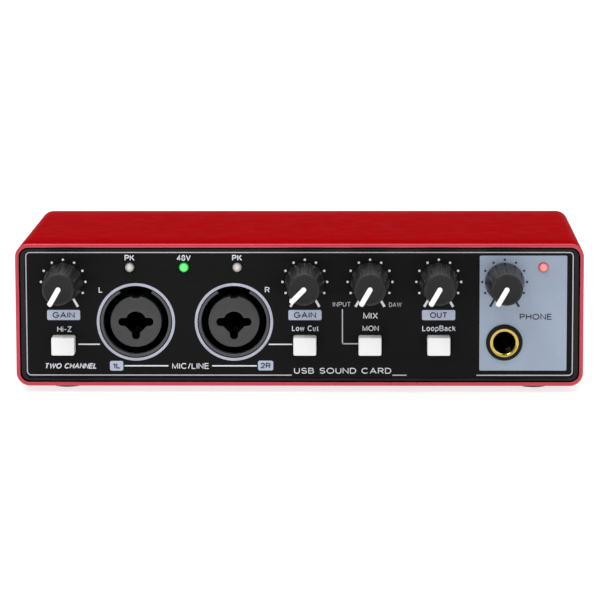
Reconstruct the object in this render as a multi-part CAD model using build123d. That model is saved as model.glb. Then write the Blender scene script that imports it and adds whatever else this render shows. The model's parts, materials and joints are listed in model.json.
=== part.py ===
from build123d import *

import math
import os

# Desktop two-channel audio interface: an extruded aluminium sleeve closed by two panels, with boards,
# controls and sockets inside. Millimetres, +Z up, the front towards -Y. The origin is the centre of the
# overall footprint, on the surface that the feet stand on.

OVER = 1.0  # how far a cut runs on past the surface that it opens

# Sleeve and feet
SLEEVE_W, SLEEVE_D, SLEEVE_H = 178.0, 88.0, 45.0
WALL = 1.2
CORNER_R = 4.2
FRONT_CHAMFER, REAR_ROUND = 0.35, 0.8
FOOT_R, FOOT_H, FOOT_CHAMFER = 5.0, 2.0, 0.5
FOOT_X, FOOT_INSET = 74.0, 14.0
INNER_W, INNER_H = SLEEVE_W - 2 * WALL, SLEEVE_H - 2 * WALL
MID_H = SLEEVE_H / 2
BOSS_INSET, BOSS_R, BOSS_HOLE_R = 3.8, 2.6, 1.3
BOSS_X, BOSS_DV = INNER_W / 2 - BOSS_INSET, INNER_H / 2 - BOSS_INSET
GUIDE_X, GUIDE_T, GUIDE_LIP, GUIDE_LIP_T = 80.2, 1.6, 2.0, 1.3
SCREW_R, SCREW_L, SCREW_SLOT, SCREW_SLOT_DEPTH = 1.2, 9.0, (0.6, 2.2), 0.8
FRONT_HEAD_R, FRONT_HEAD_T, REAR_HEAD_R, REAR_HEAD_T = 1.75, 1.0, 2.3, 1.5

# Panels. Depths are measured back from the sleeve's front edge, w outwards from a panel's own face.
FACE_DEPTH = 0.9
OVERLAY_T, BORDER_PROUD, PANEL_BACK = 0.5, 0.3, -3.0
PANEL_W, PANEL_H, PANEL_R = INNER_W - 0.4, INNER_H - 0.4, 2.8
OVERLAY_W, OVERLAY_H, OVERLAY_R = 171.8, 40.2, 1.9
REAR_T, REAR_RECESS = 2.0, 1.0
REAR_DEPTH = SLEEVE_D - REAR_RECESS

# Boards
BOARD_T = 1.6
BOARD_TOP, BOARD_PLAY = 7.6, 0.1
MAIN_BOARD_FRONT, MAIN_BOARD_BACK = 14.8, 84.6
FRONT_BOARD_W = -11.6
FRONT_BOARD_X, FRONT_BOARD_LOW, FRONT_BOARD_HIGH = 85.4, 2.4, 42.6
PIN_R, PIN_HOLE_R, PIN_TAIL = 0.4, 0.6, 1.0
HEADER_X, HEADER_PINS, HEADER_PITCH, HEADER_PIN_R = 12.0, 6, 2.0, 0.32
HEADER_V = BOARD_TOP + 1.3
CAN_R, CAN_H, CAN_ROUND, CAN_COUNT = 3.15, 11.0, 0.4, 9
SEAT = 0.05  # gap under parts that stand on the main board
CHIPS = [  # x, depth, width, length, height
    (22, 44, 10, 10, 1.4),
    (44, 46, 7, 7, 1.2),
    (66, 42, 6, 5, 1.5),
    (6, 26, 9, 9, 1.2),
    (-10, 66, 12, 8, 1.6),
]

# Controls: places are (x, height above the sleeve's underside)
ROW_KNOB, ROW_BUTTON, ROW_LED = 32.9, 13.1, 37.5
KNOB_REACH, KNOB_GAP = 18.0, 0.8
KNOB_BASE_R, KNOB_TOP_R, KNOB_FACE_R, KNOB_BEVEL = 6.15, 4.95, 4.5, 0.6
KNOB_SKIRT_R, KNOB_SKIRT_END = 5.5, 3.6
KNOB_FLUTES, FLUTE_R, FLUTE_END = 12, 0.42, 15.6
POINTER_W, POINTER_R, POINTER_T, POINTER_LOW = 1.6, 5.85, 0.6, 5.0
SHAFT_R, SHAFT_FLAT, SHAFT_END = 3.0, 1.5, 14.6
SHAFT_SHOULDER, SHAFT_PLAY, WIPER_R, WIPER_BACK, WIPER_FRONT = 3.2, 0.06, 3.8, -10.2, -7.4
POT_FRONT, POT_W, POT_H, POT_DROP = -5.2, 9.7, 11.4, 0.9
ROTOR_R, ROTOR_BACK, ROTOR_FRONT = 4.1, -10.6, -7.0
BUSH_R, BUSH_END = 3.45, 2.9
NUT_R, NUT_T = 4.3, 2.0
CAP_W, CAP_H, CAP_REACH, CAP_BACK, CAP_GAP = 7.2, 5.8, 5.0, -1.1, 0.3
PHANTOM_CAP, PHANTOM_REACH = 5.6, 3.6
PLUNGER, PLUNGER_FRONT, PLUNGER_BACK = 3.0, 2.4, -6.5
SWITCH_FRONT, SWITCH_FLOOR, SWITCH_PLAY = -3.8, -10.8, 0.3
SWITCH_W, PHANTOM_SWITCH_W, PHANTOM_SWITCH_BACK = 8.0, 8.4, -13.0
SPRING_WIRE, SPRING_R, SPRING_TURNS, SPRING_PLAY = 0.17, 1.1, 4, 0.05
LED_R, LED_FLANGE_R, LED_FLANGE_T, LED_BACK, LEAD_X, LEAD_W = 1.5, 1.9, 0.9, -4.0, 1.27, 0.45
MIN_ANGLE = -150.0
KNOBS = {  # x, pointer angle clockwise from the top
    "gain_left": (-74.0, MIN_ANGLE),
    "gain_right": (1.8, MIN_ANGLE + 15),
    "mix": (22.2, MIN_ANGLE),
    "output": (43.7, MIN_ANGLE),
    "phones": (64.3, MIN_ANGLE),
}
BUTTONS = {"instrument": -74.0, "low_cut": 1.8, "monitor": 22.2, "loopback": 43.7}
PEAK_LEDS, PHANTOM_LED_X, POWER_LED_X = (-53.1, -19.4), -36.1, 76.4

# Sockets
INPUTS = {"left_input": -51.3, "right_input": -20.5}
INPUT_V = 20.2
SHELL_FRONT, SHELL_R, SHELL_BORE_R, SHELL_FLOOR, SHELL_BACK = -0.1, 11.25, 10.2, -16.0, -35.0
SHELL_BODY, SHELL_BORE_BACK, LATCH_BACK, LATCH_HALF_ANGLE = 25.0, -33.0, -12.0, 28.0
LEAF_SLOT_BACK, LEAF_SLOT_FRONT, LEAF_W, LEAF_T, LEAF_RISE = -30.0, -18.0, 2.0, 0.35, 4.5
INSERT_R, INSERT_FRONT, INSERT_CHAMFER, KEY_W, KEY_DEPTH = 8.0, 0.4, 0.3, 2.4, 0.6
LOBE_R, LOBE_AT, WEB_AT = 1.3, 4.2, 3.4
CONTACT_R, CONTACT_BORE_R, CONTACT_FRONT = 0.85, 0.6, -12.5
JACK_V, PHONES_X = 13.7, 64.3
JACK_W, JACK_H, PHONES_BACK, OUTPUT_BACK = 13.0, 12.0, -29.0, -28.0
COLLAR_R, COLLAR_FRONT, COLLAR_HOLE_R = 5.6, 1.0, 5.75
NOSE_R, NOSE_HOLE_R, OUTPUT_NUT_R, OUTPUT_NUT_T = 5.4, 5.6, 6.5, 2.2
OUTPUTS = {"left_output": 62.0, "right_output": 38.0}
PHANTOM_X, PHANTOM_V = -36.0, 12.0
USB_X, USB_W, USB_H, USB_L, USB_R, USB_WALL, USB_END = -62.0, 8.94, 3.26, 7.4, 1.6, 0.3, 0.8
TONGUE_W, TONGUE_T, TONGUE_R, TONGUE_FRONT = 6.7, 0.7, 0.3, -0.9
JACK_BORE_R = 3.3
FERRULE_R, FERRULE_FRONT, FERRULE_BACK, FLARE_R, FLARE_DEPTH = 4.5, 0.9, -8.0, 4.3, 1.6
PHONES_BORE_R, PHONES_BORE_BACK = 3.6, -27.0
OUTPUT_NOSE, OUTPUT_BORE_BACK, MOUTH = 3.0, -26.0, 0.5

# The frame is centred on the whole object, from the knobs' fronts to the output jacks' ends.
REACH_FRONT = KNOB_REACH - FACE_DEPTH
REACH_BACK = OUTPUT_NOSE - REAR_RECESS
FRONT_Y = (REACH_FRONT - SLEEVE_D - REACH_BACK) / 2


def front(x, v):
    """Frame of a control on the front panel: x right, y up, z towards the user from the overlay's face."""
    origin = (x, FRONT_Y + FACE_DEPTH, FOOT_H + v)
    return Plane(origin=origin, x_dir=(1, 0, 0), z_dir=(0, -1, 0)).location


def rear(x, v):
    """Frame of a socket on the rear panel: y up, z outwards from the rear panel's face."""
    origin = (x, FRONT_Y + REAR_DEPTH, FOOT_H + v)
    return Plane(origin=origin, x_dir=(-1, 0, 0), z_dir=(0, 1, 0)).location


def prism(sketch, near, far):
    """The sketch, drawn in a control's frame, as a solid between two distances w."""
    return extrude(Pos(0, 0, min(near, far)) * sketch, amount=abs(far - near))


def rod(radius, near, far, x=0.0, y=0.0):
    return prism(Pos(x, y) * Circle(radius), near, far)


def block(width, height, near, far, x=0.0, y=0.0):
    return prism(Pos(x, y) * Rectangle(width, height), near, far)


def cone(radius_near, radius_far, near, far):
    """Cone along z, from radius_near at near to radius_far at far, with near below far."""
    return Pos(0, 0, (near + far) / 2) * Cone(radius_near, radius_far, far - near)


def corners():
    """The four screw bosses' places, as (x, height)."""
    return [(sx * BOSS_X, MID_H + sv * BOSS_DV) for sx in (-1, 1) for sv in (-1, 1)]


def group(solids):
    return Compound(children=list(solids))


def turned(angle):
    """Clockwise turn by angle, as the user sees it."""
    return Rot(0, 0, -angle)


# ---- casing ----


def board_guide(side):
    """Section of the channel that holds one edge of the main board, about the sleeve's middle."""
    top, low = BOARD_TOP + BOARD_PLAY, BOARD_TOP - BOARD_T - BOARD_PLAY
    height = top + GUIDE_LIP_T - WALL
    guide = Pos(GUIDE_X + GUIDE_T / 2, WALL + height / 2) * Rectangle(GUIDE_T, height)
    for lip_v in (top + GUIDE_LIP_T / 2, low - GUIDE_LIP_T / 2):
        guide = guide + Pos(GUIDE_X - GUIDE_LIP / 2, lip_v) * Rectangle(GUIDE_LIP, GUIDE_LIP_T)
    guide = Pos(0, -MID_H) * guide
    return guide if side > 0 else mirror(guide, Plane.YZ)


def sleeve():
    length = SLEEVE_D
    at = front(0, MID_H) * Pos(0, 0, FACE_DEPTH - length)
    outer = extrude(RectangleRounded(SLEEVE_W, SLEEVE_H, CORNER_R), amount=length)
    outer = chamfer(outer.faces().sort_by(Axis.Z)[-1].edges(), FRONT_CHAMFER)
    outer = fillet(outer.faces().sort_by(Axis.Z)[0].edges(), REAR_ROUND)
    hollow = RectangleRounded(INNER_W, INNER_H, CORNER_R - WALL)
    tube = outer - extrude(hollow, amount=length)
    profile = [board_guide(side) for side in (-1, 1)]
    for sx, sv in ((-1, -1), (-1, 1), (1, -1), (1, 1)):
        x, v = sx * BOSS_X, sv * BOSS_DV
        web = Pos(x + sx * BOSS_INSET / 2, v + sv * BOSS_INSET / 2) * Rectangle(BOSS_INSET, BOSS_INSET)
        profile.append(Pos(x, v) * Circle(BOSS_R) + web & hollow)
    for shape in profile:
        tube = tube + prism(shape, REAR_RECESS + REAR_T, length - (FACE_DEPTH - PANEL_BACK))
    for x, v in corners():
        tube = tube - rod(BOSS_HOLE_R, -OVER, length + OVER, x, v - MID_H)
    return at * tube


def screw(head, head_t):
    """Self-tapping screw along z with the given head, whose top is at z 0, and a cross recess."""
    body = head + rod(SCREW_R, -SCREW_L, -head_t)
    for width, height in (SCREW_SLOT, SCREW_SLOT[::-1]):
        body = body - block(width, height, -SCREW_SLOT_DEPTH, OVER)
    return body


def front_screws():
    body = screw(cone(SCREW_R, FRONT_HEAD_R, -FRONT_HEAD_T, 0), FRONT_HEAD_T)
    return group(front(x, v) * Pos(0, 0, -OVERLAY_T) * body for x, v in corners())


def rear_screws():
    body = screw(rod(REAR_HEAD_R, -REAR_HEAD_T, 0), REAR_HEAD_T)
    return group(rear(x, v) * Pos(0, 0, REAR_HEAD_T) * body for x, v in corners())


def rubber_feet():
    front_y, back_y = FRONT_Y + FOOT_INSET, FRONT_Y + SLEEVE_D - FOOT_INSET
    feet = []
    for x in (-FOOT_X, FOOT_X):
        for y in (front_y, back_y):
            foot = Pos(x, y, FOOT_H / 2) * Cylinder(FOOT_R, FOOT_H)
            feet.append(chamfer(foot.faces().sort_by(Axis.Z)[0].edges(), FOOT_CHAMFER))
    return group(feet)


def control_openings(bush_gap):
    """Outlines, on the front face, of what passes through both the panel and its overlay."""
    shapes = [Pos(x, ROW_KNOB) * Circle(BUSH_R + bush_gap) for x, _ in KNOBS.values()]
    cap = RectangleRounded(CAP_W + 2 * CAP_GAP, CAP_H + 2 * CAP_GAP, 0.6)
    shapes += [Pos(x, ROW_BUTTON) * cap for x in BUTTONS.values()]
    for x in (*PEAK_LEDS, PHANTOM_LED_X, POWER_LED_X):
        shapes.append(Pos(x, ROW_LED) * Circle(LED_R + 0.1))
    shapes += [Pos(x, INPUT_V) * Circle(SHELL_R + 0.1) for x in INPUTS.values()]
    shapes.append(Pos(PHONES_X, JACK_V) * Circle(COLLAR_HOLE_R))
    return shapes


def front_panel():
    floor = -OVERLAY_T
    plate = prism(RectangleRounded(PANEL_W, PANEL_H, PANEL_R), PANEL_BACK, BORDER_PROUD)
    plate = fillet(plate.faces().sort_by(Axis.Z)[-1].edges(), 0.25)
    recess = RectangleRounded(OVERLAY_W + 0.1, OVERLAY_H + 0.1, OVERLAY_R + 0.05)
    plate = plate - prism(recess, floor, BORDER_PROUD + OVER)
    for shape in control_openings(0.15):
        plate = plate - prism(Pos(0, -MID_H) * shape, PANEL_BACK - OVER, OVER)
    for x, v in corners():
        sink = cone(SCREW_R + 0.05, FRONT_HEAD_R + 0.05, -FRONT_HEAD_T, 0)
        hole = rod(BOSS_HOLE_R, PANEL_BACK - OVER, 0) + Pos(0, 0, floor) * sink
        plate = plate - Pos(x, v - MID_H) * hole
    return front(0, MID_H) * plate


def front_overlay():
    sheet = prism(RectangleRounded(OVERLAY_W, OVERLAY_H, OVERLAY_R), -OVERLAY_T, 0)
    for shape in control_openings(0.25):
        sheet = sheet - prism(Pos(0, -MID_H) * shape, -OVER, OVER)
    return front(0, MID_H) * sheet


def rear_panel():
    plate = prism(RectangleRounded(PANEL_W, PANEL_H, PANEL_R), -REAR_T, 0)
    plate = chamfer(plate.faces().sort_by(Axis.Z)[-1].edges(), 0.25)
    holes = [Pos(-x, JACK_V) * Circle(NOSE_HOLE_R) for x in OUTPUTS.values()]
    side = PHANTOM_CAP + 2 * CAP_GAP
    holes.append(Pos(-PHANTOM_X, PHANTOM_V) * RectangleRounded(side, side, 0.5))
    slot = RectangleRounded(USB_W + 0.4, USB_H + 0.4, USB_R + 0.2)
    holes.append(Pos(-USB_X, BOARD_TOP + USB_H / 2) * slot)
    holes += [Pos(x, v) * Circle(BOSS_HOLE_R + 0.1) for x, v in corners()]
    for hole in holes:
        plate = plate - prism(Pos(0, -MID_H) * hole, -REAR_T - OVER, OVER)
    return rear(0, MID_H) * plate


# ---- boards ----


def pot_pins():
    return [(dx, -5.6) for dx in (-2.5, 0.0, 2.5)]


def switch_pins():
    return [(dx, dy) for dx in (-2.2, 2.2) for dy in (-2.0, 0.0, 2.0)]


def header_pins():
    start = HEADER_X - (HEADER_PINS - 1) * HEADER_PITCH / 2
    return [start + i * HEADER_PITCH for i in range(HEADER_PINS)]


def front_board():
    near, far = FRONT_BOARD_W - BOARD_T, FRONT_BOARD_W
    low, high = FRONT_BOARD_LOW, FRONT_BOARD_HIGH
    board = block(2 * FRONT_BOARD_X, high - low, near, far, 0, (high + low) / 2)
    notches = [(x, v, 2 * (FRONT_BOARD_X - GUIDE_X + GUIDE_LIP + 0.5), 9.0) for x, v in corners()]
    notches += [(x, 17.1, SHELL_BODY + 0.8, 32.0) for x in INPUTS.values()]
    notches.append((PHONES_X, 10.2, 13.6, 20.0))
    for x, v, width, height in notches:
        board = board - block(width, height, near - OVER, far + OVER, x, v)
    places = [(x + dx, ROW_KNOB + dy) for x, _ in KNOBS.values() for dx, dy in pot_pins()]
    places += [(x + dx, ROW_BUTTON + dy) for x in BUTTONS.values() for dx, dy in switch_pins()]
    leds = (*PEAK_LEDS, PHANTOM_LED_X, POWER_LED_X)
    places += [(x + dx, ROW_LED) for x in leds for dx in (-LEAD_X, LEAD_X)]
    places += [(x, HEADER_V) for x in header_pins()]
    for x, v in places:
        board = board - rod(PIN_HOLE_R, near - OVER, far + OVER, x, v)
    return front(0, 0) * board


def on_board(x, depth, shape):
    """Places a shape that stands on z 0 on the main board's top face."""
    return Pos(x, FRONT_Y + depth, FOOT_H + BOARD_TOP) * shape


def main_board():
    length = MAIN_BOARD_BACK - MAIN_BOARD_FRONT
    middle = (MAIN_BOARD_BACK + MAIN_BOARD_FRONT) / 2
    board = Box(2 * (GUIDE_X - 0.2), length, BOARD_T)
    return on_board(0, middle, Pos(0, 0, -BOARD_T / 2) * board)


def board_header():
    width = HEADER_PINS * HEADER_PITCH
    pieces = [front(0, 0) * block(width, 2.5, -15.8, -13.25, HEADER_X, HEADER_V)]
    for x in header_pins():
        pieces.append(front(0, 0) * rod(HEADER_PIN_R, -13.25, -10.6, x, HEADER_V))
    return group(pieces)


def capacitors():
    cans = []
    for i in range(CAN_COUNT):
        can = fillet(Cylinder(CAN_R, CAN_H).edges(), CAN_ROUND)
        cans.append(on_board(-74 + 9.5 * i, 42 + 9 * (i % 2), Pos(0, 0, CAN_H / 2 + SEAT) * can))
    return group(cans)


def chips():
    return group(on_board(x, d, Pos(0, 0, h / 2 + SEAT) * Box(a, b, h)) for x, d, a, b, h in CHIPS)


# ---- rotary controls ----


def pot():
    """Nine-millimetre potentiometer: housing with its rotor cavity, threaded bush and three pins."""
    body = block(POT_W, POT_H, FRONT_BOARD_W, POT_FRONT, 0, -POT_DROP)
    body = body + rod(BUSH_R, POT_FRONT, BUSH_END)
    body = body - rod(ROTOR_R, ROTOR_BACK, ROTOR_FRONT)
    body = body - rod(SHAFT_R + SHAFT_PLAY, ROTOR_FRONT, BUSH_END + OVER)
    for x, y in pot_pins():
        body = body + rod(PIN_R, FRONT_BOARD_W - BOARD_T - PIN_TAIL, FRONT_BOARD_W, x, y)
    return body


def pot_nuts():
    nut = prism(RegularPolygon(NUT_R, 6, major_radius=False) - Circle(BUSH_R + 0.05), 0, NUT_T)
    return group(front(x, ROW_KNOB) * nut for x, _ in KNOBS.values())


def d_outline(radius, flat):
    """Round outline with one flat, the flat on the side away from the pointer."""
    return Circle(radius) - Pos(0, -flat - radius) * Rectangle(4 * radius, 2 * radius)


def shaft():
    """Shaft with the pot's wiper disc behind the bush and a D-shaped end in front of it."""
    body = rod(SHAFT_R, WIPER_BACK, SHAFT_SHOULDER) + rod(WIPER_R, WIPER_BACK, WIPER_FRONT)
    return body + prism(d_outline(SHAFT_R, SHAFT_FLAT), SHAFT_SHOULDER, SHAFT_END)


def knob_outline():
    """Half profile of the knob in its own x-z plane, from the axis outwards."""
    points = [
        (0, KNOB_GAP),
        (KNOB_BASE_R - 0.15, KNOB_GAP),
        (KNOB_BASE_R, KNOB_GAP + 0.15),
        (KNOB_TOP_R, KNOB_REACH - KNOB_BEVEL),
        (KNOB_FACE_R, KNOB_REACH),
        (0, KNOB_REACH),
    ]
    return make_face(Plane.XZ * Polyline(*points, close=True))


def knob_radius(w):
    """Outer radius of the knob's tapered flank at a distance w."""
    share = (w - KNOB_GAP) / (KNOB_REACH - KNOB_BEVEL - KNOB_GAP)
    return KNOB_BASE_R + share * (KNOB_TOP_R - KNOB_BASE_R)


def pointer():
    """The pointer, pointing up: a round-ended bar across half the face, running down the flank as a rib."""
    bar = Pos(0, POINTER_R / 2) * Rectangle(POINTER_W, POINTER_R) + Circle(POINTER_W / 2)
    root = KNOB_FACE_R - POINTER_T
    rib = Pos(0, (POINTER_R + root) / 2) * Rectangle(POINTER_W, POINTER_R - root)
    body = prism(bar, KNOB_REACH - POINTER_T, KNOB_REACH) + prism(rib, POINTER_LOW, KNOB_REACH)
    outer = body.faces().sort_by(Axis.Y)[-1]
    return fillet(outer.edges(), 0.25)


def knob():
    """The knob, pointer up: fluted flank, D-shaped hole for the shaft, hollow skirt over the nut."""
    body = revolve(knob_outline(), Axis.Z) - rod(KNOB_SKIRT_R, KNOB_GAP - OVER, KNOB_SKIRT_END)
    body = body - prism(d_outline(SHAFT_R + 0.03, SHAFT_FLAT + 0.03), KNOB_SKIRT_END, SHAFT_END + 0.2)
    taper = math.degrees(math.atan2(KNOB_BASE_R - KNOB_TOP_R, KNOB_REACH - KNOB_BEVEL - KNOB_GAP))
    length = FLUTE_END + 4
    flute = Pos(0, knob_radius(FLUTE_END) + 0.05, FLUTE_END) * Rot(taper, 0, 0)
    flute = flute * (Pos(0, 0, -length / 2) * Cylinder(FLUTE_R, length) + Sphere(FLUTE_R))
    for i in range(1, KNOB_FLUTES):
        body = body - Rot(0, 0, i * 360 / KNOB_FLUTES) * flute
    return body - pointer()


# ---- push buttons ----


def button_cap(width, height, reach, back):
    cap = block(width, height, back, reach)
    cap = fillet(cap.edges().filter_by(Axis.Z), 0.35)
    cap = fillet(cap.faces().sort_by(Axis.Z)[-1].edges(), 0.3)
    return cap - block(PLUNGER, PLUNGER, back - OVER, PLUNGER_FRONT)


def plunger():
    return block(PLUNGER, PLUNGER, PLUNGER_BACK, PLUNGER_FRONT)


def push_switch(side, back):
    """Latching switch's housing, open at the front for its plunger."""
    inside = PLUNGER + 2 * SWITCH_PLAY
    return block(side, side, back, SWITCH_FRONT) - block(inside, inside, SWITCH_FLOOR, SWITCH_FRONT + OVER)


def front_switch():
    body = push_switch(SWITCH_W, FRONT_BOARD_W)
    for x, y in switch_pins():
        body = body + rod(PIN_R, FRONT_BOARD_W - BOARD_T - PIN_TAIL, FRONT_BOARD_W, x, y)
    return body


def spring():
    """Return spring between a plunger's end and its switch's floor."""
    room = SPRING_WIRE + SPRING_PLAY
    height = PLUNGER_BACK - SWITCH_FLOOR - 2 * room
    path = Helix(height / SPRING_TURNS, height, SPRING_R)
    section = Plane(path @ 0, z_dir=path % 0) * Circle(SPRING_WIRE)
    return Pos(0, 0, SWITCH_FLOOR + room) * sweep(section, path, is_frenet=True)


# ---- lights ----


def led():
    """Three-millimetre light: domed lens with its flange, and two leads."""
    lens = rod(LED_R, LED_BACK, 0) + Sphere(LED_R) + rod(LED_FLANGE_R, LED_BACK, LED_BACK + LED_FLANGE_T)
    back = FRONT_BOARD_W - BOARD_T - PIN_TAIL
    return [lens] + [block(LEAD_W, LEAD_W, back, LED_BACK, dx, 0) for dx in (-LEAD_X, LEAD_X)]


def leds(*places):
    return group(front(x, ROW_LED) * piece for x in places for piece in led())


# ---- sockets ----


def sector(radius, half_angle):
    """Pie slice about straight up."""
    a = math.radians(half_angle)
    reach = radius / math.cos(a)
    side = reach * math.sin(a)
    wedge = Polyline((0, 0), (-side, radius), (side, radius), close=True)
    return make_face(wedge) & Circle(radius)


def input_shell():
    """Combination socket's housing: a cup round the insert, with a latch gap at the top and a jack bore."""
    body = block(SHELL_BODY, SHELL_BODY, SHELL_BACK, PANEL_BACK - 0.05)
    body = body + rod(SHELL_R, PANEL_BACK - 0.05, SHELL_FRONT)
    body = body - rod(SHELL_BORE_R, SHELL_FLOOR, OVER)
    body = body - prism(sector(SHELL_R + 0.15, LATCH_HALF_ANGLE), LATCH_BACK, OVER)
    body = body - rod(JACK_BORE_R, SHELL_BORE_BACK, SHELL_FLOOR)
    slot_h = LEAF_RISE + 0.5
    return body - block(LEAF_W + 0.4, slot_h, LEAF_SLOT_BACK, LEAF_SLOT_FRONT, 0, slot_h / 2)


def lobes():
    return [(-LOBE_AT, 0), (LOBE_AT, 0), (0, -LOBE_AT)]


def input_insert():
    """Round core with the three-pin and jack openings run together."""
    opening = Circle(JACK_BORE_R)
    for x, y in lobes():
        opening = opening + Pos(x, y) * Circle(LOBE_R)
    opening = opening + Rectangle(2 * LOBE_AT, 2 * LOBE_R)
    opening = opening + Pos(0, -LOBE_AT / 2) * Rectangle(2 * LOBE_R, LOBE_AT)
    web = Polyline((-WEB_AT, -LOBE_R), (WEB_AT, -LOBE_R), (LOBE_R, -WEB_AT), (-LOBE_R, -WEB_AT), close=True)
    opening = opening + make_face(web)
    core = rod(INSERT_R, SHELL_FLOOR, INSERT_FRONT)
    core = chamfer(core.faces().sort_by(Axis.Z)[-1].edges(), INSERT_CHAMFER)
    core = core - block(KEY_W, 2 * KEY_DEPTH, SHELL_FLOOR - OVER, INSERT_FRONT + OVER, 0, INSERT_R)
    return core - prism(opening, SHELL_FLOOR - OVER, INSERT_FRONT + OVER)


def input_contacts():
    """Three contact tubes and one leaf spring for each input socket."""
    pieces = []
    for x in INPUTS.values():
        for dx, dy in lobes():
            tube = rod(CONTACT_R, SHELL_FLOOR + 0.1, CONTACT_FRONT, dx, dy)
            tube = tube - rod(CONTACT_BORE_R, SHELL_FLOOR, CONTACT_FRONT + OVER, dx, dy)
            pieces.append(front(x, INPUT_V) * tube)
        leaf = block(LEAF_W, LEAF_T, LEAF_SLOT_BACK + 0.2, LEAF_SLOT_FRONT - 0.2, 0, LEAF_RISE)
        pieces.append(front(x, INPUT_V) * leaf)
    return group(pieces)


def jack_block(near, far):
    """A phone jack's rectangular housing, its underside on the main board."""
    bottom = BOARD_TOP + 0.1 - JACK_V
    return block(JACK_W, JACK_H, near, far, 0, bottom + JACK_H / 2)


def phones_jack_body():
    seat_back = FERRULE_BACK - 0.1
    body = jack_block(PHONES_BACK, PANEL_BACK - 0.05) + rod(COLLAR_R, PANEL_BACK - 0.05, COLLAR_FRONT)
    body = chamfer(body.faces().sort_by(Axis.Z)[-1].edges(), 0.25)
    body = body - rod(FERRULE_R + 0.02, seat_back, COLLAR_FRONT + OVER)
    return body - rod(PHONES_BORE_R, PHONES_BORE_BACK, seat_back)


def phones_jack_ferrule():
    ring = rod(FERRULE_R, FERRULE_BACK, FERRULE_FRONT)
    ring = ring - rod(JACK_BORE_R, FERRULE_BACK - OVER, FERRULE_FRONT + OVER)
    return ring - cone(JACK_BORE_R, FLARE_R, FERRULE_FRONT - FLARE_DEPTH, FERRULE_FRONT)


def output_jack():
    body = jack_block(OUTPUT_BACK, -REAR_T - 0.05) + rod(NOSE_R, -REAR_T - 0.05, OUTPUT_NOSE)
    body = body - rod(JACK_BORE_R, OUTPUT_BORE_BACK, OUTPUT_NOSE + OVER)
    return body - cone(JACK_BORE_R, JACK_BORE_R + MOUTH, OUTPUT_NOSE - MOUTH, OUTPUT_NOSE)


def output_jack_nuts():
    outline = RegularPolygon(OUTPUT_NUT_R, 6, major_radius=False) - Circle(NOSE_R + 0.05)
    nut = prism(outline, 0.0, OUTPUT_NUT_T)
    return group(rear(x, JACK_V) * nut for x in OUTPUTS.values())


def usb_socket():
    """Small reversible socket: drawn metal shell, closed at the back, and the tongue inside it."""
    inside = RectangleRounded(USB_W - 2 * USB_WALL, USB_H - 2 * USB_WALL, USB_R - USB_WALL)
    shell = prism(RectangleRounded(USB_W, USB_H, USB_R), -USB_L, 0) - prism(inside, USB_END - USB_L, OVER)
    tongue = prism(RectangleRounded(TONGUE_W, TONGUE_T, TONGUE_R), USB_END + 0.05 - USB_L, TONGUE_FRONT)
    return [shell, tongue]


def build():
    """Every node's name and shape."""
    nodes = {
        "sleeve": sleeve(),
        "front_panel": front_panel(),
        "front_overlay": front_overlay(),
        "rear_panel": rear_panel(),
        "front_screws": front_screws(),
        "rear_screws": rear_screws(),
        "rubber_feet": rubber_feet(),
        "front_board": front_board(),
        "main_board": main_board(),
        "board_header": board_header(),
        "capacitors": capacitors(),
        "chips": chips(),
        "pot_nuts": pot_nuts(),
        "peak_leds": leds(*PEAK_LEDS),
        "phantom_led": leds(PHANTOM_LED_X),
        "power_led": leds(POWER_LED_X),
        "input_contacts": input_contacts(),
        "phones_jack_body": front(PHONES_X, JACK_V) * phones_jack_body(),
        "phones_jack_ferrule": front(PHONES_X, JACK_V) * phones_jack_ferrule(),
        "output_jack_nuts": output_jack_nuts(),
        "usb_socket": group(rear(USB_X, BOARD_TOP + USB_H / 2) * piece for piece in usb_socket()),
    }
    for name, (x, angle) in KNOBS.items():
        nodes[name + "_pot"] = front(x, ROW_KNOB) * pot()
        nodes[name + "_shaft"] = front(x, ROW_KNOB) * turned(angle) * shaft()
        nodes[name + "_knob"] = front(x, ROW_KNOB) * turned(angle) * knob()
        nodes[name + "_pointer"] = front(x, ROW_KNOB) * turned(angle) * pointer()
    for name, x in BUTTONS.items():
        nodes[name + "_button"] = front(x, ROW_BUTTON) * button_cap(CAP_W, CAP_H, CAP_REACH, CAP_BACK)
        nodes[name + "_plunger"] = front(x, ROW_BUTTON) * plunger()
    nodes["button_switches"] = group(front(x, ROW_BUTTON) * front_switch() for x in BUTTONS.values())
    phantom_cap = button_cap(PHANTOM_CAP, PHANTOM_CAP, PHANTOM_REACH, CAP_BACK)
    nodes["phantom_switch"] = rear(PHANTOM_X, PHANTOM_V) * push_switch(PHANTOM_SWITCH_W, PHANTOM_SWITCH_BACK)
    nodes["phantom_button"] = rear(PHANTOM_X, PHANTOM_V) * phantom_cap
    nodes["phantom_plunger"] = rear(PHANTOM_X, PHANTOM_V) * plunger()
    springs = [front(x, ROW_BUTTON) * spring() for x in BUTTONS.values()]
    nodes["switch_springs"] = group(springs + [rear(PHANTOM_X, PHANTOM_V) * spring()])
    for name, x in INPUTS.items():
        nodes[name + "_shell"] = front(x, INPUT_V) * input_shell()
        nodes[name + "_insert"] = front(x, INPUT_V) * input_insert()
    for name, x in OUTPUTS.items():
        nodes[name + "_jack"] = rear(x, JACK_V) * output_jack()
    return nodes


if __name__ == "__main__":
    os.makedirs("parts", exist_ok=True)
    for node, shape in build().items():
        export_step(shape, f"parts/{node}.step")
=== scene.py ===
"""Looks of the desktop audio interface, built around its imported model.

Pieces are drawn in millimetres in a local frame of their own: x to the right, y up and z out of the panel
that they belong to. A matrix made from the frame's boxes then puts each one in its place.
"""

import json
import math

import bmesh
import bpy
from mathutils import Matrix, Vector


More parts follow.
